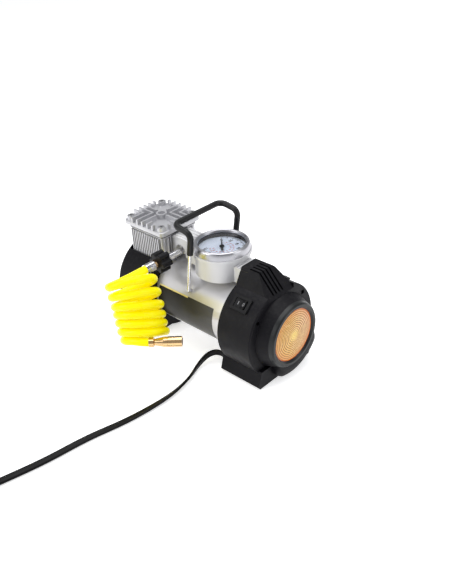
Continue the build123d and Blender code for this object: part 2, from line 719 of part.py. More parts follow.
with BuildPart() as chuck_seal:
    with BuildSketch(chuck_plane.offset(23)):
        Circle(4.4)
        Circle(1.2, mode=Mode.SUBTRACT)
    extrude(amount=2)
chuck_seal.part.label = "chuck_seal"
export_step(chuck_seal.part, "parts/chuck_seal.step")

with BuildPart() as chuck_sleeve:
    with BuildSketch(chuck_plane.offset(19.3)):
        Circle(5.4)
        Circle(4.4 + FIT, mode=Mode.SUBTRACT)
    extrude(amount=6)
    with BuildSketch(chuck_plane.offset(25.3)):
        Circle(5.4)
        Circle(VALVE_R, mode=Mode.SUBTRACT)
    extrude(amount=8)
    with BuildSketch(chuck_plane.offset(25.3)):
        Circle(5.6)
        Circle(5.0, mode=Mode.SUBTRACT)
    extrude(amount=0.8, mode=Mode.SUBTRACT)
chuck_sleeve.part.label = "chuck_sleeve"
export_step(chuck_sleeve.part, "parts/chuck_sleeve.step")

# ---------------------------------------------------------------- rear cover
FOOT_HALF, FOOT_TOP_HALF, FOOT_H = 41.0, 36.0, 20.0
PAD_H = 1.0


def foot_outline():
    """Corners of the end housings' foot, seen along the motor, from the motor axis."""
    base = PAD_H - AXIS_Z
    return (
        (-FOOT_HALF + 2, base), (-FOOT_HALF, base + 2.5), (-FOOT_TOP_HALF, FOOT_H - AXIS_Z),
        (FOOT_TOP_HALF, FOOT_H - AXIS_Z), (FOOT_HALF, base + 2.5), (FOOT_HALF - 2, base),
    )


REAR_FOOT = 40.0         # length of the rear foot along the motor
REAR_SCREW_PCR = 37.0
with BuildPart() as rear_cover:
    with BuildSketch(motor_plane(REAR_X0)):
        Circle(DRUM_R)
    extrude(amount=REAR_X1 - REAR_X0)
    fillet(rear_cover.edges().group_by(Axis.X)[0], 7)
    with BuildSketch(motor_plane(REAR_X0 + 8)):
        with BuildLine():
            Polyline(*foot_outline(), close=True)
        make_face()
    extrude(amount=REAR_FOOT)
    # inside of the shell, open towards the motor can
    with BuildSketch(motor_plane(REAR_X0 + HOUSING_WALL)):
        Circle(DRUM_R - HOUSING_WALL)
    extrude(amount=REAR_X1 - REAR_X0, mode=Mode.SUBTRACT)
    with BuildSketch(motor_plane(REAR_X0 + 8 + HOUSING_WALL)):
        with Locations((0, PAD_H + HOUSING_WALL + 7 - AXIS_Z)):
            Rectangle(2 * FOOT_TOP_HALF - 4, 14)
    extrude(amount=REAR_FOOT - 2 * HOUSING_WALL, mode=Mode.SUBTRACT)
    with BuildSketch(motor_plane(REAR_X0)):
        with PolarLocations(REAR_SCREW_PCR, 4, 45):
            Circle(3.3)
    extrude(amount=1.2, mode=Mode.SUBTRACT)
    # opening for the cylinder block
    with BuildSketch(Plane.XY.offset(AXIS_Z)):
        with Locations((CYL_X + 4, 0)):
            RectangleRounded(65, 56, 4)
    extrude(amount=DRUM_R + 5, mode=Mode.SUBTRACT)
    # cooling slots in the rear face
    with BuildSketch(motor_plane(REAR_X0)):
        with PolarLocations(24, 12):
            SlotOverall(20, 3)
    extrude(amount=HOUSING_WALL + 1, mode=Mode.SUBTRACT)
    # end disc around the motor can
    with BuildSketch(motor_plane(REAR_X1 - 2.5)):
        Circle(DRUM_R - HOUSING_WALL)
        Circle(BLOCK_R, mode=Mode.SUBTRACT)
        with Locations((0, 40)):
            Rectangle(56, 50, mode=Mode.SUBTRACT)
    extrude(amount=2.5)
rear_cover.part.label = "rear_cover"
export_step(rear_cover.part, "parts/rear_cover.step")

# ---------------------------------------------------------------- front housing and tower
SLOPE_FOOT = (89.0, 92.0)            # where the tower's slope meets the lamp cone
TOWER_HALF_TOP, TOWER_HALF_BASE = 13.0, 19.0
CONE_R0, CONE_R1 = 42.0, 35.0
SCREW_ANGLES = (40, 144, 252, 338)
SCREW_PCR = 43.5
ROCKER_DEG = 131.0                   # power rocker on the near shoulder of the drum
ROCKER_X = 67.0
LAMP_SWITCH_DEG = 59.0               # small lamp switch on the far shoulder

with BuildPart() as front_housing:
    with BuildSketch(motor_plane(FRONT_X0)):
        Circle(DRUM_R)
    extrude(amount=FRONT_X1 - FRONT_X0)
    fillet(front_housing.edges().group_by(Axis.X)[-1], 1.6)
    with BuildSketch(motor_plane(FRONT_X0 - 6)):
        with BuildLine():
            Polyline(*foot_outline(), close=True)
        make_face()
    extrude(amount=52)
    # vent tower, wider where it grows out of the drum
    with BuildSketch(motor_plane(FRONT_X0)):
        with BuildLine():
            Polyline((-TOWER_HALF_BASE - 6, 40), (-TOWER_HALF_BASE, 45),
                     (-TOWER_HALF_TOP, TOWER_TOP - AXIS_Z - 6),
                     (-TOWER_HALF_TOP + 4, TOWER_TOP - AXIS_Z), (TOWER_HALF_TOP - 2, TOWER_TOP - AXIS_Z),
                     (TOWER_HALF_TOP, TOWER_TOP - AXIS_Z - 2), (TOWER_HALF_BASE, 45),
                     (TOWER_HALF_BASE + 6, 40), close=True)
        make_face()
    extrude(amount=FRONT_X1 - FRONT_X0)
    # the tower's front slopes down to the lamp cone
    with BuildSketch(Plane.XZ.offset(-TOWER_HALF_BASE)):
        with BuildLine():
            Polyline((TOWER_X, TOWER_TOP), SLOPE_FOOT, (FRONT_X1 + 5, SLOPE_FOOT[1] - 5),
                     (FRONT_X1 + 5, TOWER_TOP + 5), (TOWER_X, TOWER_TOP + 5), close=True)
        make_face()
    extrude(amount=2 * TOWER_HALF_BASE, mode=Mode.SUBTRACT)
    # lamp cone
    with BuildSketch(motor_plane(FRONT_X1 - 6)):
        Circle(CONE_R0)
    with BuildSketch(motor_plane(BEZEL_X - 5)):
        Circle(CONE_R1)
    loft()
    # inside of the drum, the foot and the cone
    with BuildSketch(motor_plane(FRONT_X0 + HOUSING_WALL)):
        Circle(DRUM_R - 9)
    extrude(amount=FRONT_X1 - FRONT_X0 - 2 * HOUSING_WALL - 1, mode=Mode.SUBTRACT)
    with BuildSketch(motor_plane(FRONT_X0 - 6 + HOUSING_WALL)):
        with Locations((0, PAD_H + HOUSING_WALL + 6 - AXIS_Z)):
            Rectangle(2 * FOOT_TOP_HALF - 6, 11)
    extrude(amount=52 - 2 * HOUSING_WALL, mode=Mode.SUBTRACT)
    with BuildSketch(motor_plane(FRONT_X1 - 6)):
        Circle(CONE_R1 - 4)
    extrude(amount=30, mode=Mode.SUBTRACT)
    # motor can's seat in the rear wall and the slot that takes the gauge bridge
    with BuildSketch(motor_plane(FRONT_X0 - 7)):
        Circle(CAN_R)
    extrude(amount=7 + HOUSING_WALL, mode=Mode.SUBTRACT)
    with BuildSketch(motor_plane(FRONT_X0)):
        with Locations((0, (BRIDGE_Z0 + NECK_TOP) / 2 - AXIS_Z)):
            Rectangle(2 * BRIDGE_HALF_Y - 1, NECK_TOP - BRIDGE_Z0)
    extrude(amount=9, mode=Mode.SUBTRACT)
    # four vent grooves over the tower's top and down its slope
    for groove in range(4):
        with BuildSketch(Plane.XZ.offset(7.2 - 4.6 * groove)):
            with BuildLine():
                Polyline((TOWER_X - 12, TOWER_TOP + 3), (TOWER_X - 12, TOWER_TOP - 4),
                         (TOWER_X - 2, TOWER_TOP - 4), (SLOPE_FOOT[0] - 6, SLOPE_FOOT[1] + 1),
                         (SLOPE_FOOT[0] + 2, SLOPE_FOOT[1] + 2),
                         (SLOPE_FOOT[0] + 2, TOWER_TOP + 3), close=True)
            make_face()
        extrude(amount=2, mode=Mode.SUBTRACT)
    # screw recesses on the front flange
    with BuildSketch(motor_plane(FRONT_X1 - 5)):
        for angle in SCREW_ANGLES:
            with Locations(polar(SCREW_PCR, angle)):
                Rectangle(4.4, 4.4)
    extrude(amount=8, mode=Mode.SUBTRACT)
    # windows for the two switches
    for angle, x, length, width in ((ROCKER_DEG, ROCKER_X, 19, 12.6), (LAMP_SWITCH_DEG, 70, 13.2, 9.0)):
        radial = Vector(0, *polar(1, angle))
        with BuildSketch(Plane(origin=(x, 0, AXIS_Z), x_dir=(1, 0, 0), z_dir=radial).offset(DRUM_R - 12)):
            Rectangle(length, width)
        extrude(amount=20, mode=Mode.SUBTRACT)
front_housing.part.label = "front_housing"
export_step(front_housing.part, "parts/front_housing.step")

# case screws of both end housings
with BuildPart() as housing_screws:
    with BuildSketch(motor_plane(FRONT_X1 - 5)):
        for angle in SCREW_ANGLES:
            with Locations(polar(SCREW_PCR, angle)):
                Circle(2.1)
    extrude(amount=1.6)
    with BuildSketch(motor_plane(REAR_X0 - 0.6)):
        with PolarLocations(REAR_SCREW_PCR, 4, 45):
            Circle(3.2)
            RegularPolygon(1.4, 4, mode=Mode.SUBTRACT)
    extrude(amount=1.8)
housing_screws.part.label = "housing_screws"
export_step(housing_screws.part, "parts/housing_screws.step")

# ---------------------------------------------------------------- lamp
LENS_R = 28.5
with BuildPart() as lamp_bezel:
    with BuildSketch(Plane.XZ):
        with BuildLine():
            x1 = BEZEL_X
            x0 = BEZEL_X - 5
            Polyline((x0, AXIS_Z + LENS_R + 1), (x0, AXIS_Z + CONE_R1), (x1 - 1.5, AXIS_Z + CONE_R1 - 0.8),
                     (x1, AXIS_Z + CONE_R1 - 2.2), (x1, AXIS_Z + LENS_R + 1.4),
                     (x1 - 2, AXIS_Z + LENS_R - 0.6),
                     (x1 - 2.6, AXIS_Z + LENS_R - 0.6), (x1 - 2.6, AXIS_Z + LENS_R + 1), close=True)
        make_face()
    revolve(axis=on_axis())
lamp_bezel.part.label = "lamp_bezel"
export_step(lamp_bezel.part, "parts/lamp_bezel.step")

with BuildPart() as lamp_lens:
    with BuildSketch(motor_plane(BEZEL_X - 4.8)):
        Circle(LENS_R + 0.9)
    extrude(amount=2.2)
    with BuildSketch(motor_plane(BEZEL_X - 2.6)):
        Circle(LENS_R - 0.8)
    extrude(amount=1.6)
    fillet(lamp_lens.edges().group_by(Axis.X)[-1], 1.4)
lamp_lens.part.label = "lamp_lens"
export_step(lamp_lens.part, "parts/lamp_lens.step")

REFLECTOR_BACK = BEZEL_X - 22
with BuildPart() as lamp_reflector:
    with BuildSketch(Plane.XZ):
        with BuildLine():
            lip = BEZEL_X - 4.8
            ThreePointArc((REFLECTOR_BACK, AXIS_Z + 5.2), (REFLECTOR_BACK + 6, AXIS_Z + 17),
                          (lip, AXIS_Z + LENS_R))
            Line((lip, AXIS_Z + LENS_R), (lip, AXIS_Z + LENS_R + 0.9))
            ThreePointArc((lip, AXIS_Z + LENS_R + 0.9), (REFLECTOR_BACK + 4.8, AXIS_Z + 17.9),
                          (REFLECTOR_BACK - 1.2, AXIS_Z + 5.2))
            Line((REFLECTOR_BACK - 1.2, AXIS_Z + 5.2), (REFLECTOR_BACK, AXIS_Z + 5.2))
        make_face()
    revolve(axis=on_axis())
lamp_reflector.part.label = "lamp_reflector"
export_step(lamp_reflector.part, "parts/lamp_reflector.step")

with BuildPart() as bulb_holder:
    with BuildSketch(motor_plane(REFLECTOR_BACK - 8)):
        Circle(5.2)
    extrude(amount=9)
bulb_holder.part.label = "bulb_holder"
export_step(bulb_holder.part, "parts/bulb_holder.step")

with BuildPart() as lamp_bulb:
    with BuildSketch(motor_plane(REFLECTOR_BACK + 1)):
        Circle(3.4)
    extrude(amount=6)
    with Locations((REFLECTOR_BACK + 9, 0, AXIS_Z)):
        Sphere(4.2)
lamp_bulb.part.label = "lamp_bulb"
export_step(lamp_bulb.part, "parts/lamp_bulb.step")

# ---------------------------------------------------------------- switches
def radial_plane(degrees, x, radius):
    """Plane facing out of the drum, with local x along the motor."""
    normal = Vector(0, *polar(1, degrees))
    return Plane(origin=Vector(x, 0, AXIS_Z) + normal * radius, x_dir=(1, 0, 0), z_dir=normal)


def hinge_plane(face, depth, half):
    """Plane at one end of a rocker's hinge, which lies below the switch's face and runs across the motor."""
    origin = face.origin - face.z_dir * depth - face.y_dir * half
    return Plane(origin=origin, x_dir=face.x_dir, z_dir=face.y_dir)


TRUNNION_R = 1.2
TRUNNION_OUT = 1.2             # how far a trunnion reaches into the switch's side wall, past the rocker
ROCKER_FACE = DRUM_R           # underside of the switch's bezel, from the motor axis
power_hinge = hinge_plane(radial_plane(ROCKER_DEG, ROCKER_X, ROCKER_FACE), 3.0, 4.4 + TRUNNION_OUT)
lamp_hinge = hinge_plane(radial_plane(LAMP_SWITCH_DEG, 70, DRUM_R), 2.7, 2.7 + TRUNNION_OUT)
with BuildPart() as power_switch_frame:
    with BuildSketch(radial_plane(ROCKER_DEG, ROCKER_X, ROCKER_FACE)):
        RectangleRounded(21, 15, 1)
        Rectangle(14.6, 9.4, mode=Mode.SUBTRACT)
    extrude(amount=2)
    with BuildSketch(radial_plane(ROCKER_DEG, ROCKER_X, ROCKER_FACE - 10)):
        Rectangle(19, 12.6)
        Rectangle(14.6, 9.4, mode=Mode.SUBTRACT)
    extrude(amount=10)
    with BuildSketch(power_hinge):
        Circle(TRUNNION_R + FIT)
    extrude(amount=2 * (4.4 + TRUNNION_OUT), mode=Mode.SUBTRACT)
power_switch_frame.part.label = "power_switch_frame"
export_step(power_switch_frame.part, "parts/power_switch_frame.step")

with BuildPart() as power_rocker:
    rocker_plane = radial_plane(ROCKER_DEG, ROCKER_X, ROCKER_FACE - 1.5)
    with BuildSketch(Plane(origin=rocker_plane.origin - rocker_plane.y_dir * 4.4, x_dir=rocker_plane.x_dir,
                           z_dir=rocker_plane.y_dir)):
        # seen along the hinge: local x runs along the motor, local y towards the drum
        with BuildLine():
            Polyline((-6.6, 1.5), (-6.6, -3.2), (0, -1.6), (5.8, -4.4), (6.5, -1.5), (6.5, 0.5), (0, 3),
                     close=True)
        make_face()
    extrude(amount=8.8)
    with BuildSketch(power_hinge):
        Circle(TRUNNION_R)
    extrude(amount=2 * (4.4 + TRUNNION_OUT))
power_rocker.part.label = "power_rocker"
export_step(power_rocker.part, "parts/power_rocker.step")

with BuildPart() as lamp_switch_frame:
    with BuildSketch(radial_plane(LAMP_SWITCH_DEG, 70, DRUM_R)):
        RectangleRounded(15, 10, 1)
        Rectangle(9.6, 6, mode=Mode.SUBTRACT)
    extrude(amount=1.8)
    with BuildSketch(radial_plane(LAMP_SWITCH_DEG, 70, DRUM_R - 9)):
        Rectangle(13, 8.8)
        Rectangle(9.6, 6, mode=Mode.SUBTRACT)
    extrude(amount=9)
    with BuildSketch(lamp_hinge):
        Circle(TRUNNION_R - 0.4 + FIT)
    extrude(amount=2 * (2.7 + TRUNNION_OUT), mode=Mode.SUBTRACT)
lamp_switch_frame.part.label = "lamp_switch_frame"
export_step(lamp_switch_frame.part, "parts/lamp_switch_frame.step")

with BuildPart() as lamp_rocker:
    lamp_plane = radial_plane(LAMP_SWITCH_DEG, 70, DRUM_R - 1.5)
    with BuildSketch(Plane(origin=lamp_plane.origin - lamp_plane.y_dir * 2.7, x_dir=lamp_plane.x_dir,
                           z_dir=lamp_plane.y_dir)):
        with BuildLine():
            Polyline((-4.2, 1.5), (-4.2, -3.2), (0, -1.8), (3.6, -4.0), (4.2, -1.4), (4.2, 0.5), (0, 2.5),
                     close=True)
        make_face()
    extrude(amount=5.4)
    with BuildSketch(lamp_hinge):
        Circle(TRUNNION_R - 0.4)
    extrude(amount=2 * (2.7 + TRUNNION_OUT))
lamp_rocker.part.label = "lamp_rocker"
export_step(lamp_rocker.part, "parts/lamp_rocker.step")

# ---------------------------------------------------------------- power cord and plug
CORD_EXIT = (FRONT_X0 - 6, -31.0, 13.0)
RELIEF_L = 4.0
with BuildPart() as strain_relief:
    with BuildSketch(Plane(origin=CORD_EXIT, z_dir=(-1, 0, 0))):
        Circle(4.6)
    with BuildSketch(Plane(origin=CORD_EXIT, z_dir=(-1, 0, 0)).offset(RELIEF_L)):
        Circle(3.2)
    loft()
strain_relief.part.label = "strain_relief"
export_step(strain_relief.part, "parts/strain_relief.step")

FLOOR_Z = CORD_R + 0.05
CORD_POINTS = [
    (CORD_EXIT[0] - RELIEF_L, CORD_EXIT[1], CORD_EXIT[2]),
    (CORD_EXIT[0] - RELIEF_L - 6.5, CORD_EXIT[1], CORD_EXIT[2]),
    (CORD_EXIT[0] - RELIEF_L - 12.8, CORD_EXIT[1] - 2.8, CORD_EXIT[2] - 1.2),
    (CORD_EXIT[0] - RELIEF_L - 17.0, CORD_EXIT[1] - 8.6, CORD_EXIT[2] - 3.9),
    (CORD_EXIT[0] - RELIEF_L - 17.8, CORD_EXIT[1] - 16.5, CORD_EXIT[2] - 7.3),
    (CORD_EXIT[0] - RELIEF_L - 16.0, CORD_EXIT[1] - 26.5, FLOOR_Z + 0.7),
    (CORD_EXIT[0] - RELIEF_L - 9.5, CORD_EXIT[1] - 42.0, FLOOR_Z),
    (33.0, -98.0, FLOOR_Z),
    (32.0, -122.0, FLOOR_Z),
    (27.0, -158.0, FLOOR_Z),
    (17.0, -196.0, FLOOR_Z),
    (12.0, -238.0, FLOOR_Z),
    (3.0, -276.0, FLOOR_Z),
    (-5.0, -305.0, FLOOR_Z),
    (-8.0, -331.0, FLOOR_Z),
]
# from the wound rest of the cord round to the back of the plug
PLUG_X, PLUG_REAR_Y, PLUG_Z = -115.0, -331.0, 12.6
LINK_POINTS = [
    (-85.5, -325.0, 14.5),
    (-86.5, -314.0, 13.0),
    (-91.5, -303.5, 11.5),
    (-101.0, -298.5, 11.0),
    (-110.5, -303.5, 11.6),
    (PLUG_X, -314.0, 12.2),
    (PLUG_X, -322.5, PLUG_Z),
    (PLUG_X, PLUG_REAR_Y, PLUG_Z),
]
with BuildPart() as power_cord:
    with BuildLine() as cord_path:
        FilletPolyline(*CORD_POINTS, radius=tangent_radii(CORD_POINTS))
    with BuildSketch(Plane(origin=cord_path.line @ 0, z_dir=cord_path.line % 0)):
        Circle(CORD_R)
    sweep()
    cord_volume = power_cord.part.volume
    report_route("power_cord", CORD_POINTS, CORD_R, cord_volume, cord_path.wire())
    with BuildLine() as link_path:
        FilletPolyline(*LINK_POINTS, radius=tangent_radii(LINK_POINTS))
    with BuildSketch(Plane(origin=link_path.line @ 0, z_dir=link_path.line % 0)):
        Circle(CORD_R)
    sweep(path=link_path.line)
report_route("power_cord_link", LINK_POINTS, CORD_R, power_cord.part.volume - cord_volume, link_path.wire())
power_cord.part.label = "power_cord"
export_step(power_cord.part, "parts/power_cord.step")

RING_MID = 30.5          # middle radius of the wound cord
RING_HALF = 10.0
RING_H = 19.6
RING_AT = (-46.0, -336.0)
with BuildPart() as power_cord_coil:
    with BuildSketch(Plane.XY):
        with Locations(RING_AT):
            Circle(RING_MID + RING_HALF)
            Circle(RING_MID - RING_HALF, mode=Mode.SUBTRACT)
    extrude(amount=RING_H)
power_cord_coil.part.label = "power_cord_coil"
export_step(power_cord_coil.part, "parts/power_cord_coil.step")

# 12 V accessory plug, lying beside the coil
PLUG_R = 10.4
CONTACT_DEEP = 1.6
CONTACT_WIDE = 5.0
CONTACT_FROM, CONTACT_TO = 19.0, 31.0    # the side contacts sit in the barrel's front half
CONTACT_MID = (CONTACT_FROM + CONTACT_TO) / 2
PLUG_AT = (PLUG_X, PLUG_REAR_Y - 34.0, PLUG_Z)
plug_plane = Plane(origin=PLUG_AT, x_dir=(1, 0, 0), z_dir=(0, -1, 0))
with BuildPart() as plug_body:
    with BuildSketch(plug_plane):
        Circle(PLUG_R)
        Circle(6.2, mode=Mode.SUBTRACT)
    extrude(amount=34)
    with BuildSketch(plug_plane.offset(CONTACT_MID)):
        with GridLocations(2 * PLUG_R, 0, 2, 1):
            Rectangle(2 * CONTACT_DEEP, CONTACT_WIDE + 2 * FIT)
    extrude(amount=(CONTACT_TO - CONTACT_FROM) / 2 + FIT, both=True, mode=Mode.SUBTRACT)
    with BuildSketch(plug_plane):
        Circle(12.4)
        with PolarLocations(12.8, 18):
            Circle(0.8, mode=Mode.SUBTRACT)
    extrude(amount=-22)
    with BuildSketch(plug_plane.offset(-22)):
        Circle(10)
    with BuildSketch(plug_plane.offset(-34)):
        Circle(4.5)
    loft()
plug_body.part.label = "plug_body"
export_step(plug_body.part, "parts/plug_body.step")

with BuildPart() as plug_tip:
    with BuildSketch(plug_plane.offset(10)):
        Circle(6.2 - FIT)
    extrude(amount=24)
    with BuildSketch(plug_plane.offset(34)):
        Circle(3.4)
    extrude(amount=5)
    fillet(plug_tip.edges().group_by(Axis.Y)[0], 1.5)
plug_tip.part.label = "plug_tip"
export_step(plug_tip.part, "parts/plug_tip.step")

with BuildPart() as plug_contacts:
    for side in (-1, 1):
        with BuildSketch(Plane(origin=PLUG_AT, x_dir=(0, -1, 0), z_dir=(0, 0, 1)).offset(-CONTACT_WIDE / 2)):
            # flat strips pressed flush with the barrel, each bowed a little in its slot
            with BuildLine():
                deep = side * (PLUG_R - CONTACT_DEEP)
                rim = side * (PLUG_R - 0.9)
                Polyline((CONTACT_TO, rim), (CONTACT_TO, deep), (CONTACT_FROM, deep), (CONTACT_FROM, rim))
                ThreePointArc((CONTACT_FROM, rim), (CONTACT_MID, side * (PLUG_R - 0.35)), (CONTACT_TO, rim))
            make_face()
        extrude(amount=CONTACT_WIDE)
plug_contacts.part.label = "plug_contacts"
export_step(plug_contacts.part, "parts/plug_contacts.step")

# ---------------------------------------------------------------- carrying handle
SHOULDER_X, SHOULDER_Z = 5.3, 144.2  # the legs lean forward to their shoulders
BAR_X, BAR_Z = -18.8, 147.7          # the cross bar is set back over the head's side
HOOK_Y = 25.5                        # inner end of the hooked wire
GRIP_END_Z = 121.0                   # the sleeve covers the wire above this height
GRIP_END_X = HANDLE_X + (SHOULDER_X - HANDLE_X) * (GRIP_END_Z - HANDLE_Z) / (SHOULDER_Z - HANDLE_Z)


def handle_points(*start):
    """Corners of one half of the handle, from the given start over the near leg, and mirrored back."""
    near = [*start, (SHOULDER_X, -HANDLE_Y, SHOULDER_Z), (BAR_X, -HANDLE_Y, BAR_Z)]
    return near + [(x, -y, z) for x, y, z in reversed(near)]


wire_points = handle_points((HANDLE_X, -HOOK_Y, HANDLE_Z), (HANDLE_X, -HANDLE_Y, HANDLE_Z))
with BuildPart() as handle_wire:
    with BuildLine() as wire_path:
        FilletPolyline(*wire_points, radius=[4, 7, 8, 8, 7, 4])
    with BuildSketch(Plane(origin=wire_path.line @ 0, z_dir=wire_path.line % 0)):
        Circle(WIRE_R)
    sweep()
handle_wire.part.label = "handle_wire"
export_step(handle_wire.part, "parts/handle_wire.step")

grip_points = handle_points((GRIP_END_X, -HANDLE_Y, GRIP_END_Z))
with BuildPart() as handle_grip:
    with BuildLine() as grip_path:
        FilletPolyline(*grip_points, radius=[7, 8, 8, 7])
    with BuildSketch(Plane(origin=grip_path.line @ 0, z_dir=grip_path.line % 0)):
        Circle(GRIP_R)
        Circle(WIRE_R, mode=Mode.SUBTRACT)
    sweep()
handle_grip.part.label = "handle_grip"
export_step(handle_grip.part, "parts/handle_grip.step")

# ---------------------------------------------------------------- rubber feet
with BuildPart() as foot_pads:
    with BuildSketch(Plane.XY):
        for x in (FRONT_X0 + 4, FRONT_X0 + 36, REAR_X0 + 16, REAR_X0 + 40):
            for y in (-30, 30):
                with Locations((x, y)):
                    Circle(5)
    extrude(amount=PAD_H)
foot_pads.part.label = "foot_pads"
export_step(foot_pads.part, "parts/foot_pads.step")
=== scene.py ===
"""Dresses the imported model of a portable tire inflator: finishes, cords, dial, lamp and studio."""
from __future__ import annotations

import json
import logging
import math
from dataclasses import dataclass, field, fields
from enum import Enum

import bmesh
import bpy
from mathutils import Matrix, Vector

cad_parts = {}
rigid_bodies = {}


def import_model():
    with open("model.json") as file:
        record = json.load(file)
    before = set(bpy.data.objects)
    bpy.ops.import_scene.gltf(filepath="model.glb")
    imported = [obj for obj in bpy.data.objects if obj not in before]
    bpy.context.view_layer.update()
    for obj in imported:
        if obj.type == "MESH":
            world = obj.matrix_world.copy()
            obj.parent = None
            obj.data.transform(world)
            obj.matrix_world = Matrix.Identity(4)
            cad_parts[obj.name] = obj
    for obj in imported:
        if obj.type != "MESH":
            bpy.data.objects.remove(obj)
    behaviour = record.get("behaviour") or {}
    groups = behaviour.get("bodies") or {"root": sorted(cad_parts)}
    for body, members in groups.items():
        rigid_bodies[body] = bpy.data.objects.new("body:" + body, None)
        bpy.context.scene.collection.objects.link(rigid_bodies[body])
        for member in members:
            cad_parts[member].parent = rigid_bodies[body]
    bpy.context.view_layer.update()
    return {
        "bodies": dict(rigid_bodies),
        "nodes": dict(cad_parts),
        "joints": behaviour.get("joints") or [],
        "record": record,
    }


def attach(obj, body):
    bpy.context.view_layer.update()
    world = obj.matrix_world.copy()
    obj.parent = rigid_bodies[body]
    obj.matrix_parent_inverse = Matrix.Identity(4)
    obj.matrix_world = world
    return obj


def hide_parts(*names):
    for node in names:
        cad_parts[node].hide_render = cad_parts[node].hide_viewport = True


LOG = logging.getLogger("inflator")
Point = tuple[float, float, float]
Colour = tuple[float, float, float]
Faces = list[tuple[int, ...]]
Socket = bpy.types.NodeSocket
Feed = Socket | float | tuple[float, ...]

MM = 0.001
AXIS_Z = 51.0
ALONG_MOTOR = Vector((1, 0, 0))
UPWARDS = Vector((0, 0, 1))
VIEW_RIGHT = Vector((0.721, 0.691, -0.058))
VIEW_BACK = Vector((0.609, -0.592, 0.527))
SHARP_ANGLE = math.radians(34)
CORD_STEPS = 4


def mm(x: float, y: float, z: float) -> Vector:
    """A point given in millimetres, as a vector in metres."""
    return Vector((x, y, z)) * MM


def round_motor(x: float, radius: float, degrees: float) -> Vector:
    """A point given in millimetres and degrees round the motor's axis, as a vector in metres."""
    angle = math.radians(degrees)
    return mm(x, radius * math.cos(angle), AXIS_Z + radius * math.sin(angle))


def add_object(name: str, data: bpy.types.ID) -> bpy.types.Object:
    """Make an object of some data and link it to the scene.

    Args:
        name: The object's name.
        data: Its mesh, curve, camera or light.

    Returns:
        The object.
    """
    obj = bpy.data.objects.new(name, data)
    bpy.context.collection.objects.link(obj)
    return obj


# ---------- shader nodes
class Graph:
    """Short ways to add nodes to one node tree and to feed their inputs."""

    def __init__(self, tree: bpy.types.NodeTree) -> None:
        """Keep the tree to add to."""
        self.tree = tree

    def fill(self, node: bpy.types.Node, inputs: dict[str | int, Feed]) -> None:
        """Set or link some inputs of a node.

        Args:
            node: The node.
            inputs: A constant or a socket for each input, by name or number.
        """
        for key, value in inputs.items():
            if isinstance(value, Socket):
                self.tree.links.new(value, node.inputs[key])
            else:
                node.inputs[key].default_value = value

    def add(self, kind: str, inputs: dict[str | int, Feed], **settings: object) -> bpy.types.Node:
        """Add a shader node.

        Args:
            kind: Its type, without the leading ShaderNode.
            inputs: A constant or a socket for each input, by name or number.
            settings: Values of its own settings.

        Returns:
            The node.
        """
        node = self.tree.nodes.new("ShaderNode" + kind)
        for name, value in settings.items():
            setattr(node, name, value)
        self.fill(node, inputs)
        return node

    def reckon(self, operation: str, *values: Feed) -> Socket:
        """Result of an operation on numbers."""
        return self.add("Math", dict(enumerate(values)), operation=operation).outputs[0]

    def vector(self, operation: str, *values: Feed) -> bpy.types.Node:
        """Node of an operation on vectors."""
        return self.add("VectorMath", dict(enumerate(values)), operation=operation)

    def position(self) -> Socket:
        """Position in the object's own space."""
        return self.add("TexCoord", {}).outputs["Object"]

    def coordinate(self, axis: str) -> Socket:
        """Position along one axis of the object's own space."""
        return self.add("SeparateXYZ", {0: self.position()}).outputs[axis]

    def noise(self, scale: Feed, detail: float, stretch: Point = (1, 1, 1)) -> Socket:
        """Noise over the object's own space.

        Args:
            scale: Scale of the noise.
            detail: Detail of the noise.
            stretch: Factor along each axis.

        Returns:
            The noise's socket.
        """
        place = self.vector("MULTIPLY", self.position(), stretch).outputs[0]
        return self.add("TexNoise", {"Vector": place, "Scale": scale, "Detail": detail}).outputs[0]

    def spread(self, value: Socket, low: float, high: float, to_low: Feed = 0.0, to_high: Feed = 1.0) -> Socket:
        """Map a value from one range to another.

        Args:
            value: The value.
            low: Value that maps to to_low.
            high: Value that maps to to_high.
            to_low: Result at low.
            to_high: Result at high.

        Returns:
            The result's socket.
        """
        ends = {"From Min": low, "From Max": high, "To Min": to_low, "To Max": to_high}
        return self.add("MapRange", {"Value": value} | ends).outputs["Result"]

    def tint(self, share: Socket, colour: Colour) -> None:
        """Lay a colour over what feeds the shader's Base Color.

        Args:
            share: How much of the colour shows, from 0 to 1.
            colour: The colour.
        """
        shader = self.tree.nodes["Principled BSDF"]
        source = shader.inputs["Base Color"].links[0].from_socket
        mix = self.add("Mix", {0: share, 6: source, 7: (*colour, 1)}, data_type="RGBA")
        self.fill(shader, {"Base Color": mix.outputs[2]})


class Group(Enum):
    """Surface effects shared by more than one finish."""

    GRAIN = "moulded_grain"
    MOTTLE = "tone_mottle"
    BRUSH = "brushed_streaks"
    DUST = "settled_dust"


def new_group(kind: Group, inputs: dict[str, float],
              *outputs: str) -> tuple[Graph, bpy.types.Node, bpy.types.Node]:
    """Start a shader node group whose inputs and outputs are numbers.

    Args:
        kind: The effect that the group holds.
        inputs: Default value of each input.
        outputs: Name of each output.

    Returns:
        The group's graph, and its input and output nodes.
    """
    tree = bpy.data.node_groups.new(kind.value, "ShaderNodeTree")
    for name, value in inputs.items():
        tree.interface.new_socket(name, in_out="INPUT", socket_type="NodeSocketFloat").default_value = value
    for name in outputs:
        tree.interface.new_socket(name, in_out="OUTPUT", socket_type="NodeSocketFloat")
    return Graph(tree), tree.nodes.new("NodeGroupInput"), tree.nodes.new("NodeGroupOutput")


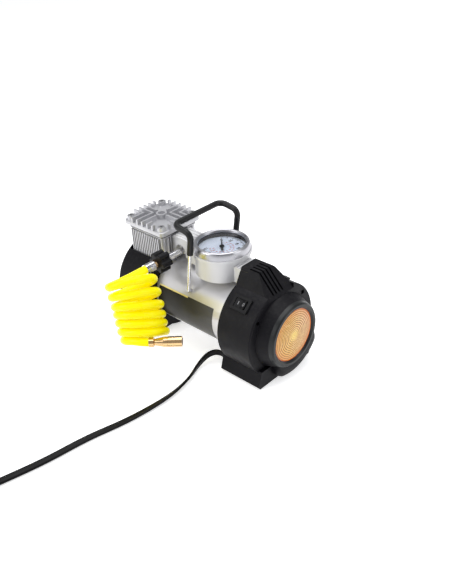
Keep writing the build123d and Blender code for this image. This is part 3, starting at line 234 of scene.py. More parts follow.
def build_groups() -> dict[Group, bpy.types.NodeTree]:
    """Build every shared shader node group once.

    Returns:
        The node tree of each effect.
    """
    grain, given, result = new_group(Group.GRAIN, {"Scale": 1800.0}, "Height")
    grain.fill(result, {"Height": grain.noise(given.outputs["Scale"], 3.0)})

    mottle, given, result = new_group(Group.MOTTLE, {"Scale": 60.0, "Low": 0.3, "High": 0.5}, "Value")
    cloud = mottle.noise(given.outputs["Scale"], 6.0)
    mottle.fill(result, {"Value": mottle.spread(cloud, 0.3, 0.7, given.outputs["Low"], given.outputs["High"])})

    brush, given, result = new_group(Group.BRUSH, {"Scale": 900.0, "Low": 0.25, "High": 0.4}, "Value", "Height")
    streak = brush.noise(given.outputs["Scale"], 2.0, (1, 0.06, 0.06))
    gloss = brush.spread(streak, 0.3, 0.7, given.outputs["Low"], given.outputs["High"])
    brush.fill(result, {"Value": gloss, "Height": streak})

    dust, given, result = new_group(Group.DUST, {"Amount": 0.2}, "Mask")
    facing = dust.add("SeparateXYZ", {0: dust.add("NewGeometry", {}).outputs["Normal"]})
    specks = dust.reckon("MULTIPLY", dust.spread(facing.outputs["Z"], 0.2, 1.0),
                         dust.spread(dust.noise(320.0, 5.0), 0.45, 0.7))
    dust.fill(result, {"Mask": dust.reckon("MULTIPLY", specks, given.outputs["Amount"])})
    return {Group.GRAIN: grain.tree, Group.MOTTLE: mottle.tree, Group.BRUSH: brush.tree, Group.DUST: dust.tree}


# ---------- finishes
@dataclass(frozen=True)
class Finish:
    """One surface finish, made as a material whose colour, roughness and bump all vary."""

    base: Colour
    second: Colour
    rough: tuple[float, float] = (0.4, 0.55)
    metal: float = 0.0
    effect: Group = Group.GRAIN
    scale: float = 1800.0
    bump: float = 0.1
    depth: float = 0.00005
    coat: float = 0.0
    transmission: float = 0.0
    ior: float = 1.45
    specular: float = 0.5
    dust: float = 0.0
    # Glow of a part that is no lamp, which is painted light.
    emission: float = 0.0

    coat_roughness = 0.06
    tone_scale = 38.0
    wear_scale = 140.0
    dust_colour = (0.5, 0.48, 0.45)

    def build(self, name: str, groups: dict[Group, bpy.types.NodeTree]) -> bpy.types.Material:
        """Make the material.

        Args:
            name: The material's name.
            groups: The shared shader node groups.

        Returns:
            The finished material.
        """
        material = bpy.data.materials.new(name)
        material.use_nodes = True
        graph = Graph(material.node_tree)
        shader = graph.tree.nodes["Principled BSDF"]
        graph.fill(shader, {
            "Metallic": self.metal, "IOR": self.ior, "Coat Weight": self.coat, "Coat Roughness": self.coat_roughness,
            "Transmission Weight": self.transmission, "Specular IOR Level": self.specular})
        # Painted light: the finish glows in its own colour.
        if self.emission:
            graph.fill(shader, {"Emission Color": (*self.base, 1), "Emission Strength": self.emission})
        tone = graph.add("Group", {"Scale": self.tone_scale, "Low": 0.0, "High": 1.0},
                         node_tree=groups[Group.MOTTLE]).outputs["Value"]
        mix = graph.add("Mix", {0: tone, 6: (*self.base, 1), 7: (*self.second, 1)}, data_type="RGBA")
        ends = {"Low": self.rough[0], "High": self.rough[1]}
        if self.effect is Group.BRUSH:
            relief = wear = graph.add("Group", {"Scale": self.scale} | ends, node_tree=groups[Group.BRUSH])
        else:
            relief = graph.add("Group", {"Scale": self.scale}, node_tree=groups[Group.GRAIN])
            wear = graph.add("Group", {"Scale": self.wear_scale} | ends, node_tree=groups[Group.MOTTLE])
        bump = graph.add("Bump", {"Strength": self.bump, "Distance": self.depth, "Height": relief.outputs["Height"]})
        graph.fill(shader, {"Base Color": mix.outputs[2], "Roughness": wear.outputs["Value"],
                            "Normal": bump.outputs["Normal"]})
        if self.dust:
            layer = graph.add("Group", {"Amount": self.dust}, node_tree=groups[Group.DUST])
            graph.tint(layer.outputs["Mask"], self.dust_colour)
        return material


@dataclass(frozen=True)
class Finishes:
    """The finishes of every piece. Those of CAD nodes are named as the record's material slots."""

    silver_paint: Finish = Finish((0.60, 0.595, 0.62), (0.63, 0.625, 0.65), (0.30, 0.33), 0.55, scale=2600.0,
                                  bump=0.03, coat=0.25)
    ferrite: Finish = Finish((0.05, 0.05, 0.055), (0.08, 0.08, 0.085), (0.6, 0.75))
    plated_steel: Finish = Finish((0.55, 0.55, 0.56), (0.66, 0.66, 0.67), (0.22, 0.34), 1.0)
    phenolic: Finish = Finish((0.11, 0.055, 0.03), (0.16, 0.08, 0.045), (0.4, 0.55))
    carbon: Finish = Finish((0.025, 0.025, 0.027), (0.045, 0.045, 0.047), (0.5, 0.7))
    laminations: Finish = Finish((0.28, 0.28, 0.29), (0.36, 0.36, 0.38), (0.35, 0.5), 0.9, Group.BRUSH)
    copper: Finish = Finish((0.62, 0.25, 0.12), (0.75, 0.35, 0.18), (0.22, 0.35), 1.0)
    ground_steel: Finish = Finish((0.55, 0.55, 0.57), (0.62, 0.62, 0.64), (0.15, 0.3), 1.0, Group.BRUSH)
    black_nylon: Finish = Finish((0.006, 0.006, 0.007), (0.010, 0.010, 0.011), (0.36, 0.5), scale=2400.0, bump=0.2,
                                 specular=0.2)
    cast_alloy: Finish = Finish((0.50, 0.50, 0.52), (0.57, 0.57, 0.59), (0.32, 0.4), 0.62, scale=900.0, bump=0.03,
                                depth=0.00008)
    seal_ptfe: Finish = Finish((0.16, 0.09, 0.05), (0.2, 0.12, 0.07), (0.4, 0.5))
    gasket: Finish = Finish((0.02, 0.02, 0.02), (0.035, 0.035, 0.035), (0.6, 0.8))
    silver_casting: Finish = Finish((0.66, 0.66, 0.675), (0.71, 0.71, 0.72), (0.42, 0.5), 0.25, scale=1500.0,
                                    bump=0.06, coat=0.1)
    chrome: Finish = Finish((0.66, 0.66, 0.68), (0.74, 0.74, 0.76), (0.10, 0.16), 1.0, scale=500.0, bump=0.03)
    satin_chrome: Finish = Finish((0.40, 0.40, 0.425), (0.47, 0.47, 0.495), (0.26, 0.34), 1.0, scale=500.0,
                                  bump=0.03)
    clear: Finish = Finish((0.98, 0.99, 1.0), (1.0, 1.0, 1.0), (0.01, 0.03), transmission=1.0, bump=0.0, ior=1.35)
    dial_white: Finish = Finish((0.74, 0.82, 0.97), (0.80, 0.87, 1.0), (0.5, 0.6), bump=0.05)
    needle_black: Finish = Finish((0.008, 0.008, 0.01), (0.015, 0.015, 0.018), (0.3, 0.4))
    brass: Finish = Finish((0.62, 0.40, 0.19), (0.72, 0.50, 0.26), (0.14, 0.22), 1.0, Group.BRUSH, scale=1500.0,
                           bump=0.04)
    # The hose's faint glow is painted light.
    yellow_hose: Finish = Finish((1.0, 0.86, 0.0), (1.0, 0.91, 0.0), (0.24, 0.34), scale=700.0, bump=0.05,
                                 specular=0.22, emission=0.10)
    black_plastic: Finish = Finish((0.0034, 0.0032, 0.0046), (0.0056, 0.0053, 0.0072), (0.42, 0.54), scale=2100.0,
                                   bump=0.3, depth=0.00006, dust=0.015, specular=0.15)
    lens_amber: Finish = Finish((0.88, 0.50, 0.12), (0.94, 0.58, 0.17), (0.14, 0.22), transmission=0.02, bump=0.0,
                                ior=1.35, specular=0.3)
    reflector: Finish = Finish((0.80, 0.52, 0.22), (0.9, 0.62, 0.3), (0.3, 0.42), 0.9, scale=90.0, bump=0.25,
                               depth=0.0004)
    black_rubber: Finish = Finish((0.0055, 0.0055, 0.006), (0.009, 0.009, 0.010), (0.32, 0.44), scale=1200.0,
                                  bump=0.2, specular=0.3)
    black_pvc: Finish = Finish((0.0020, 0.0020, 0.0022), (0.0034, 0.0034, 0.0038), (0.34, 0.46), scale=900.0,
                               specular=0.16)
    bezel_black: Finish = Finish((0.009, 0.0105, 0.011), (0.013, 0.0145, 0.015), (0.3, 0.38), scale=2100.0,
                                 bump=0.1, specular=0.3)
    plate_print: Finish = Finish((0.010, 0.009, 0.003), (0.015, 0.013, 0.005), (0.3, 0.38), bump=0.03,
                                 specular=0.22)
    ink_dark: Finish = Finish((0.012, 0.014, 0.022), (0.02, 0.022, 0.03), (0.4, 0.5), bump=0.0)
    ink_white: Finish = Finish((0.22, 0.22, 0.235), (0.3, 0.3, 0.315), (0.4, 0.5), bump=0.0)
    ink_red: Finish = Finish((0.5, 0.03, 0.02), (0.6, 0.05, 0.03), (0.4, 0.5), bump=0.0)
    ink_gold: Finish = Finish((0.80, 0.66, 0.20), (0.88, 0.76, 0.30), (0.3, 0.4), 0.3, bump=0.0)
    lamp_glass: Finish = Finish((1.0, 0.88, 0.62), (1.0, 0.94, 0.78), (0.02, 0.05), bump=0.0, transmission=0.6)
    rim_red: Finish = Finish((0.85, 0.16, 0.03), (0.95, 0.25, 0.05), (0.2, 0.3), bump=0.0)


# ---------- workshop
class Workshop:
    """Holds the frame and the materials, and makes and seats pieces."""

    def __init__(self, frame: dict, finishes: Finishes) -> None:
        """Build the material of every finish.

        Args:
            finishes: The finishes to build.
        """
        self.frame = frame
        self.finishes = finishes
        self.groups = build_groups()
        self.materials: dict[str, bpy.types.Material] = {}
        for entry in fields(finishes):
            self.material(entry.name, getattr(finishes, entry.name))

    def material(self, name: str, finish: Finish) -> Graph:
        """Build a finish's material and keep it.

        Args:
            name: Name to keep it under.
            finish: The finish.

        Returns:
            The graph of its nodes.
        """
        self.materials[name] = finish.build(name, self.groups)
        return Graph(self.materials[name].node_tree)

    def seat(self, piece: bpy.types.Object, slot: str, material: str = "",
             body: str = "machine") -> bpy.types.Object:
        """Give a piece its material and make it ride on a body.

        Args:
            piece: The new piece.
            slot: The record's material slot that it belongs to.
            material: Name of the material, if it isn't the slot's own.
            body: The CAD body that it moves with.

        Returns:
            The piece.
        """
        piece.data.materials.clear()
        piece.data.materials.append(self.materials[material or slot])
        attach(piece, body)
        LOG.info("seated %s on %s", piece.name, body)
        return piece

    def mesh(self, name: str, points: list[Vector], faces: Faces, smooth: bool = True) -> bpy.types.Object:
        """Make a mesh object.

        Args:
            name: The piece's name.
            points: Its vertices, in metres.
            faces: Its faces, as indices of vertices.
            smooth: Whether its faces are shaded smooth where they meet at small angles.

        Returns:
            The object.
        """
        data = bpy.data.meshes.new(name)
        data.from_pydata(points, [], faces)
        data.validate()
        if smooth:
            data.polygons.foreach_set("use_smooth", [True] * len(data.polygons))
            data.set_sharp_from_angle(angle=SHARP_ANGLE)
        return add_object(name, data)

    def tube(self, name: str, points: list[Vector], rows: int, loop: bool) -> bpy.types.Object:
        """Skin a tube over closed rings of points that follow each other.

        Args:
            name: The piece's name.
            points: The rings' points, in metres.
            rows: Number of points in each ring.
            loop: Whether the last ring joins the first.

        Returns:
            The tube.
        """
        rings = len(points) // rows
        faces = []
        for ring in range(rings if loop else rings - 1):
            near, far = ring * rows, (ring + 1) % rings * rows
            faces += [(near + k, near + (k + 1) % rows, far + (k + 1) % rows, far + k) for k in range(rows)]
        return self.mesh(name, points, faces)

    def lathe(self, name: str, profile: list[tuple[float, float]], origin: Vector, axis: Vector,
              steps: int = 96) -> bpy.types.Object:
        """Turn a profile round an axis.

        Args:
            name: The piece's name.
            profile: Points as (distance along the axis, radius), in millimetres.
            origin: A point on the axis, in metres.
            axis: Direction of the axis.
            steps: Number of steps round the axis.

        Returns:
            The turned object.
        """
        turn = axis.to_track_quat("Z", "Y").to_matrix().to_4x4()
        turn.translation = origin
        points = []
        faces = []
        rows = len(profile)
        for step in range(steps):
            angle = 2 * math.pi * step / steps
            points += [turn @ mm(radius * math.cos(angle), radius * math.sin(angle), along)
                       for along, radius in profile]
            near, far = step * rows, (step + 1) % steps * rows
            faces += [(near + row, far + row, far + row + 1, near + row + 1) for row in range(rows - 1)]
        return self.mesh(name, points, faces)

    def prism(self, outline: list[tuple[float, float]], place: Matrix, height: float) -> bpy.types.Object:
        """Raise a flat outline into a solid mark.

        Args:
            outline: Corners in millimetres, in the plane's own axes.
            place: Matrix of the plane, in metres.
            height: Height in millimetres along the plane's normal.

        Returns:
            The mark.
        """
        count = len(outline)
        points = [place @ mm(x, y, z) for z in (0, height) for x, y in outline]
        sides = [(i, (i + 1) % count, (i + 1) % count + count, i + count) for i in range(count)]
        ends = [tuple(range(count))[::-1], tuple(range(count, 2 * count))]
        return self.mesh("mark", points, sides + ends, False)

    def join(self, name: str, pieces: list[bpy.types.Object]) -> bpy.types.Object:
        """Join mesh objects into one.

        Args:
            name: Name of the result.
            pieces: The objects, which are used up.

        Returns:
            The joined object.
        """
        whole = bmesh.new()
        for piece in pieces:
            whole.from_mesh(piece.data)
            bpy.data.objects.remove(piece)
        data = bpy.data.meshes.new(name)
        whole.to_mesh(data)
        whole.free()
        return add_object(name, data)


@dataclass
class SubAssembly:
    """A part of the inflator, made with the workshop's tools."""

    shop: Workshop

    def build(self) -> None:
        """Make the part's pieces and seat them."""
        raise NotImplementedError


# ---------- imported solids
@dataclass
class PackedNodes(SubAssembly):
    """The CAD solids that stay in view: each gets its slot's finish and softly broken edges."""

    slot_x: float = 48.4
    edge_angle: float = 38.0
    finishes: dict[str, str] = field(default_factory=lambda: {
        "lamp_bulb": "lamp_glass", "lamp_bezel": "bezel_black", "gauge_bridge": "bridge_casting"})
    rounded: dict[str, float] = field(default_factory=lambda: {
        "front_housing": 0.45, "rear_cover": 0.45, "lamp_bezel": 0.25, "gauge_bridge": 0.5, "cylinder_block": 0.3,
        "cylinder_head": 0.35, "union_nut": 0.4, "plug_body": 0.3, "power_switch_frame": 0.25,
        "lamp_switch_frame": 0.25, "power_rocker": 0.2, "lamp_rocker": 0.2, "chuck_body": 0.2, "chuck_sleeve": 0.25,
        "tail_ferrule": 0.25, "hose_ferrule": 0.25, "hose_nipple": 0.2, "head_screws": 0.2, "foot_pads": 0.2,
        "motor_can": 0.3})

    def shade_bridge(self) -> None:
        """Build the bridge's casting, with painted shade where its end sits in the tower's slot."""
        graph = self.shop.material("bridge_casting", self.shop.finishes.silver_casting)
        inside = graph.spread(graph.coordinate("X"), (self.slot_x - 0.1) * MM, self.slot_x * MM)
        # Painted shade: the end inside the tower's slot takes the black plastic's colour.
        graph.tint(inside, self.shop.finishes.black_plastic.base)

    def build(self) -> None:
        """Give every CAD node its material, and break the edges of those that show."""
        self.shade_bridge()
        slots = {entry["node"]: entry["material_slot"] for entry in self.shop.frame["record"]["subparts"]}
        for name, obj in self.shop.frame["nodes"].items():
            material = self.shop.materials[self.finishes.get(name, slots[name])]
            if obj.material_slots:
                for entry in obj.material_slots:
                    entry.material = material
            else:
                obj.data.materials.append(material)
            if name in self.rounded:
                edge = obj.modifiers.new("broken_edges", "BEVEL")
                edge.width = self.rounded[name] * MM
                edge.segments = 2
                edge.limit_method = "ANGLE"
                edge.angle_limit = math.radians(self.edge_angle)
                edge.harden_normals = True
            LOG.info("dressed %s", name)


# ---------- cords
def spline_curve(name: str, route: list[Vector], tilts: list[float] | None = None) -> bpy.types.Object:
    """A curve object with one smooth spline.

    Args:
        name: The piece's name.
        route: Control points, in metres.
        tilts: Twist at each point, in radians.

    Returns:
        The curve object.
    """
    curve = bpy.data.curves.new(name, "CURVE")
    curve.dimensions = "3D"
    spline = curve.splines.new("NURBS")
    spline.points.add(len(route) - 1)
    for index, (point, place) in enumerate(zip(spline.points, route)):
        point.co = (*place, 1.0)
        if tilts:
            point.tilt = tilts[index]
    spline.order_u = 3
    spline.use_endpoint_u = True
    return add_object(name, curve)


def spline_length(obj: bpy.types.Object) -> float:
    """Measure a curve object's spline.

    Args:
        obj: The curve object.

    Returns:
        Its length in metres, to the nearest millimetre.
    """
    data = obj.data.copy()
    data.bevel_depth = 0
    data.bevel_object = None
    data.bevel_mode = "ROUND"
    bare = bpy.data.objects.new("bare", data)
    mesh = bpy.data.meshes.new_from_object(bare)
    length = sum((mesh.vertices[e.vertices[0]].co - mesh.vertices[e.vertices[1]].co).length for e in mesh.edges)
    bpy.data.objects.remove(bare)
    bpy.data.curves.remove(data)
    bpy.data.meshes.remove(mesh)
    LOG.info("%s is %.3f m long", obj.name, length)
    return round(length, 3)


@dataclass
class AirHose(SubAssembly):
    """Recoil hose that hangs from the outlet: lead, close turns that fan out at the top, and tail."""

    outlet: Point = (-37.0, -62.0, 102.5)
    radius: float = 4.3
    turns: float = 6.14
    turn_radius: float = 22.8
    per_turn: int = 14
    pitch: float = 10.6
    fan: float = 2.9
    foot: Point = (-21.9, -83.6, 37.2)
    lean: tuple[float, float] = (-0.9, -0.9)
    last_turn: float = 6.0
    fan_turns: float = 2.25
    slope: float = 6.2
    top_slope: float = 13.5
    slope_turns: float = 3.25

    def turn_point(self, turn: float) -> Vector:
        """Control point of the hose's turns, counted from the first tip away from the machine.

        Args:
            turn: Number of turns from the start of the winding.

        Returns:
            The point, in metres.
        """
        above = self.last_turn - turn
        spare = max(0.0, self.fan_turns - turn)
        centre = Vector((self.foot[0] + self.lean[0] * above, self.foot[1] + self.lean[1] * above,
                         self.foot[2] + self.pitch * above + self.fan * spare))
        tilt = math.radians(self.slope + self.top_slope * max(0.0, 1 - turn / self.slope_turns))
        up = VIEW_BACK.cross(VIEW_RIGHT)
        across = VIEW_RIGHT * math.cos(tilt) + up * math.sin(tilt)
        radius = self.turn_radius + 0.7 * math.sin(5.2 * turn + 0.6)
        angle = 2 * math.pi * turn
        return (centre + radius * (VIEW_BACK * math.sin(angle) - across * math.cos(angle))) * MM

    def route(self) -> list[Vector]:
        """Lay out the hose.

        Returns:
            Control points from the outlet to the chuck, in metres.
        """
        points = [mm(*self.outlet), mm(-37, -73, 102.5), mm(-37, -84, 102.6), mm(-37.8, -95, 102.6)]
        count = round(self.turns * self.per_turn)
        points += [self.turn_point(0.035 + step / self.per_turn) for step in range(count)]
        points += [mm(-15.5, -102.4, 45.9), mm(-9, -99.6, 46.0), mm(-3, -94.8, 46.0)]
        return points

    def build(self) -> None:
        hose = spline_curve("air_hose", self.route())
        hose.data.bevel_depth = self.radius * MM
        hose.data.bevel_resolution = 8
        hose.data.resolution_u = CORD_STEPS
        hose.data.use_fill_caps = True
        self.shop.seat(hose, "yellow_hose")
        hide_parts("air_hose_lead", "air_hose_coil", "air_hose_tail")
        spline_length(hose)


@dataclass
class PowerCord(SubAssembly):
    """Flat twin lead from the front foot over the floor to its wound rest and the accessory plug."""

    outlet: Point = (38.0, -31.0, 13.0)
    width: float = 6.6
    thick: float = 3.3
    ring: tuple[float, float] = (-46.0, -336.0)
    outer: float = 38.4
    step: float = 7.2
    layer: float = 3.45
    rows: int = 6
    row_turns: float = 2.33
    per_turn: int = 16
    lift: float = 0.35
    on_edge: float = 118.0
    laid_over: float = 25.0
    turning_point: float = 0.5
    turning_rate: int = 6

    def lead_points(self) -> tuple[list[Vector], list[float]]:
        """Lay the lead over the floor.

        Returns:
            Control points from the foot to the winding, in metres, and their twists in radians.
        """
        held = [(31.5, -31, 13), (25.2, -33.8, 11.8), (21, -39.6, 9.1), (20.2, -47.5, 5.9)]
        laid = [(22, -57.5), (28.5, -73), (33, -98), (32, -122), (27, -158), (17, -196), (12, -238), (3, -276),
                (-5, -305), (-8, -331)]
        route = [mm(*self.outlet)] + [mm(*point) for point in held]
        last = len(route) + len(laid) - 1
        twists = [self.twist(index / last) for index in range(last + 1)]
        for (x, y), twist in zip(laid, twists[len(route):]):
            lean = abs(twist)
            rest = self.width / 2 * math.sin(lean) + self.thick / 2 * math.cos(lean)
            route.append(mm(x, y, rest + self.lift))
        return route, twists

    def twist(self, share: float) -> float:
        """Turn of the flat lead about its own line: on edge near the foot, then lying over.

        Args:
            share: Share of the way from the foot to the winding.

        Returns:
            The turn, in radians.
        """
        return math.radians(self.on_edge / (1 + (share / self.turning_point) ** self.turning_rate) - self.laid_over)

    def ring_points(self) -> list[Vector]:
        """Wind the rest of the lead, row over row.

        Returns:
            Its control points, in metres.
        """
        points = []
        count = round(self.rows * self.row_turns * self.per_turn)
        row_steps = round(self.row_turns * self.per_turn)
        for index in range(1, count + 8):
            row, at = divmod(index, row_steps)
            share = at / self.per_turn
            inward = row % 2 == 0
            if row >= self.rows:
                row, radius = self.rows - 1, self.outer
            elif inward:
                radius = self.outer - self.step * share
            else:
                radius = self.outer - self.step * (self.row_turns - share)
            rise = min(1.0, (row_steps - at) / 4) if row < self.rows - 1 else 1.0
            height = self.thick / 2 + 0.8 + self.layer * (row + 1 - rise)
            angle = -2 * math.pi * index / self.per_turn
            points.append(mm(self.ring[0] + radius * math.cos(angle), self.ring[1] + radius * math.sin(angle),
                             height))
        return points

    def link_points(self) -> list[Vector]:
        """Control points from the winding to the plug's back, in metres."""
        route = [(-85.5, -325, 14.5), (-86.5, -314, 13), (-91.5, -303.5, 11.5), (-101, -298.5, 11),
                 (-110.5, -303.5, 11.6), (-115, -314, 12.2), (-115, -322.5, 12.6), (-115, -331, 12.6)]
        return [mm(*point) for point in route]

    def section(self) -> bpy.types.Object:
        """Make the lead's cross-section: two cores side by side with a groove between them.

        Returns:
            The section's hidden curve object.
        """
        curve = bpy.data.curves.new("lead_section", "CURVE")
        curve.dimensions = "2D"
        spline = curve.splines.new("POLY")
        steps = 24
        half = self.width / 2
        spline.points.add(steps - 1)
        for step, point in enumerate(spline.points):
            angle = 2 * math.pi * step / steps
            x = half * math.cos(angle)
            y = self.thick / 2 * math.copysign(abs(math.sin(angle)) ** 0.6, math.sin(angle))
            y *= 0.72 + 0.28 * min(1.0, abs(x) / half * 2.4)
            point.co = (x * MM, y * MM, 0, 1)
        spline.use_cyclic_u = True
        obj = add_object("lead_section", curve)
        obj.hide_render = True
        obj.hide_set(True)
        return obj

    def tie(self) -> bpy.types.Object:
        """Wrap a soft tie round the wound rest.

        Returns:
            The tie.
        """
        points = []
        depth = self.step * self.row_turns
        middle, high, slack = 10.9, 10.8, 0.8
        centre = mm(self.ring[0], self.ring[1] + self.outer - depth / 2, middle)
        wide = depth / 2 + self.width / 2 + slack
        steps, inner = 40, 0.93
        for index in range(steps):
            angle = 2 * math.pi * index / steps
            y = wide * math.copysign(abs(math.cos(angle)) ** 0.5, math.cos(angle))
            z = high * math.copysign(abs(math.sin(angle)) ** 0.5, math.sin(angle))
            points += [centre + mm(across, y * share, z * share)
                       for across, share in ((-2.4, 1), (2.4, 1), (2.2, inner), (-2.2, inner))]
        return self.shop.seat(self.shop.tube("cord_tie", points, 4, True), "black_pvc", "black_rubber")

    def build(self) -> None:
        lead, twists = self.lead_points()
        rest = self.ring_points() + self.link_points()
        cord = spline_curve("accessory_lead", lead + rest, twists + [0.0] * len(rest))
        cord.data.twist_mode = "Z_UP"
        cord.data.bevel_mode = "OBJECT"
        cord.data.bevel_object = self.section()
        cord.data.resolution_u = CORD_STEPS
        cord.data.use_fill_caps = True
        self.shop.seat(cord, "black_pvc")
        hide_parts("power_cord", "power_cord_coil")
        spline_length(cord)
        self.tie()


# ---------- gauge
@dataclass
class Gauge(SubAssembly):
    """Printed dial under the gauge's glass, with two scales of ticks and plain numbers, and its ring."""

    centre: tuple[float, float] = (13.0, 0.0)
    dial_z: float = 117.0
    shoulder_z: float = 118.0
    top_z: float = 126.0
    start: float = 135.8
    sweep: float = 270.0

    def place(self, share: float, radius: float) -> Point:
        """Where a share of the scale lies.

        Args:
            share: Share of the whole sweep.
            radius: Distance from the dial's middle, in millimetres.

        Returns:
            The x and y in millimetres, and the direction in radians.
        """
        angle = math.radians(self.start - self.sweep * share)
        return (self.centre[0] + radius * math.cos(angle), self.centre[1] + radius * math.sin(angle), angle)

    def ticks(self, name: str, count: int, major: int, inner: float, outer: float,
              thick: float) -> bpy.types.Object:
        """A ring of tick marks.

        Args:
            name: The piece's name.
            count: Number of steps in the scale.
            major: Every how many steps a long mark stands.
            inner: Inner radius of a long mark.
            outer: Outer radius.
            thick: Width of a long mark.

        Returns:
            The marks as one object.
        """
        marks = []
        for index in range(count + 1):
            size = 1.0 if index % major == 0 else 0.5
            x, y, angle = self.place(index / count, outer)
            place = Matrix.Translation(mm(x, y, self.dial_z)) @ Matrix.Rotation(angle, 4, "Z")
            depth, half = (outer - inner) * size, thick / 2 * size
            marks.append(self.shop.prism([(-depth, -half), (0, -half), (0, half), (-depth, half)], place, 0.12))
        return self.shop.join(name, marks)

    def numbers(self, name: str, values: range, radius: float, size: float) -> bpy.types.Object:
        """Plain numbers round the dial.

        Args:
            name: The piece's name.
            values: The numbers, evenly spread over the sweep.
            radius: Distance of their middles from the dial's middle.
            size: Height of the figures in millimetres.

        Returns:
            The numbers as one mesh object.
        """
        figures = []
        for index, value in enumerate(values):
            x, y, _ = self.place(index / (len(values) - 1), radius)
            text = bpy.data.curves.new("figure", "FONT")
            text.body = str(value)
            text.size = size * MM
            text.align_x = text.align_y = "CENTER"
            text.extrude = 0.05 * MM
            text.offset = size * 0.018 * MM
            holder = bpy.data.objects.new("figure", text)
            data = bpy.data.meshes.new_from_object(holder)
            data.transform(Matrix.Translation(mm(x, y, self.dial_z + 0.07)) @ Matrix.Rotation(-math.pi / 2, 4, "Z"))
            bpy.data.objects.remove(holder)
            bpy.data.curves.remove(text)
            figures.append(add_object("figure", data))
        return self.shop.join(name, figures)

    def build(self) -> None:
        """Make the dial's print, the turned ring and a dark wall inside it, which is painted shade in the gauge's
        recess.
        """
        shop = self.shop
        shop.seat(self.ticks("dial_outer_marks", 80, 5, 20.4, 23.6, 0.6), "dial_white", "ink_dark")
        shop.seat(self.ticks("dial_inner_marks", 44, 4, 10.9, 12.7, 0.45), "dial_white", "ink_red")
        shop.seat(self.numbers("dial_outer_numbers", range(0, 161, 20), 16.9, 4.5), "dial_white", "ink_dark")
        shop.seat(self.numbers("dial_inner_numbers", range(12), 8.9, 2.8), "dial_white", "ink_red")
        low, top = self.shoulder_z, self.top_z
        rim = [(low, 25.6), (low, 29.3), (low + 0.3, 29.55), (low + 3.2, 29.15), (top - 2.2, 28.7),
               (top - 1.2, 28.35), (top - 0.5, 27.8), (top - 0.1, 27.0), (top, 26.4), (top - 0.15, 25.7),
               (top - 0.6, 25.0), (top - 1.2, 24.65), (top - 3.0, 24.6), (top - 3.0, 25.6), (low, 25.6)]
        bezel = shop.lathe("turned_bezel", rim, mm(*self.centre, 0), UPWARDS, 160)
        shop.seat(bezel, "chrome", "satin_chrome")
        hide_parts("gauge_bezel")
        # Painted shade: a black band on the inner wall of the recess under the glass.
        wall = [(0.2, 25.5), (5.3, 25.5), (5.3, 24.7), (0.2, 24.7), (0.2, 25.5)]
        ring = shop.lathe("gauge_wall_painted_shade", wall, mm(*self.centre, self.dial_z), UPWARDS)
        shop.seat(ring, "chrome", "black_nylon")


# ---------- label
@dataclass
class Label(SubAssembly):
    """Bare printed plate wrapped round the lower flank of the motor can."""

    can_radius: float = 38.0
    x0: float = -50.0
    x1: float = 30.0
    top: float = 153.0
    bottom: float = 212.0
    thick: float = 0.25
    fade_x: float = -20.0
    grey: Colour = (0.088, 0.087, 0.084)

    def patch(self, name: str, x1: float, a0: float, a1: float, lift: float) -> bpy.types.Object:
        """A thin sheet wrapped on the can from the plate's rear end.

        Args:
            name: The piece's name.
            x1: Front end in millimetres.
            a0: First angle in degrees.
            a1: Last angle.
            lift: Height over the can in millimetres.

        Returns:
            The sheet.
        """
        steps = 24
        half = (steps + 1) * 2
        points = [round_motor(x, self.can_radius + height, a0 + (a1 - a0) * step / steps)
                  for height in (lift, 0.02) for step in range(steps + 1) for x in (self.x0, x1)]
        faces = []
        for step in range(steps):
            a, b, c, d = step * 2, step * 2 + 1, step * 2 + 3, step * 2 + 2
            faces += [(a, b, c, d), (half + d, half + c, half + b, half + a), (a, d, half + d, half + a),
                      (c, b, half + b, half + c)]
        faces += [(1, 0, half, half + 1), (half - 2, half - 1, 2 * half - 1, 2 * half - 2)]
        return self.shop.mesh(name, points, faces)

    def build(self) -> None:
        """Make the plate, whose print fades from black to grey, and the gold line along its upper edge."""
        graph = Graph(self.shop.materials["plate_print"].node_tree)
        graph.tint(graph.spread(graph.coordinate("X"), self.fade_x * MM, self.x1 * MM), self.grey)
        plate = self.patch("label_plate", self.x1, self.top, self.bottom, self.thick)
        self.shop.seat(plate, "silver_paint", "plate_print")
        line = self.patch("label_gold_line", self.x1 - 37, self.top - 0.2, self.top + 2.2, self.thick + 0.05)
        self.shop.seat(line, "silver_paint", "ink_gold")


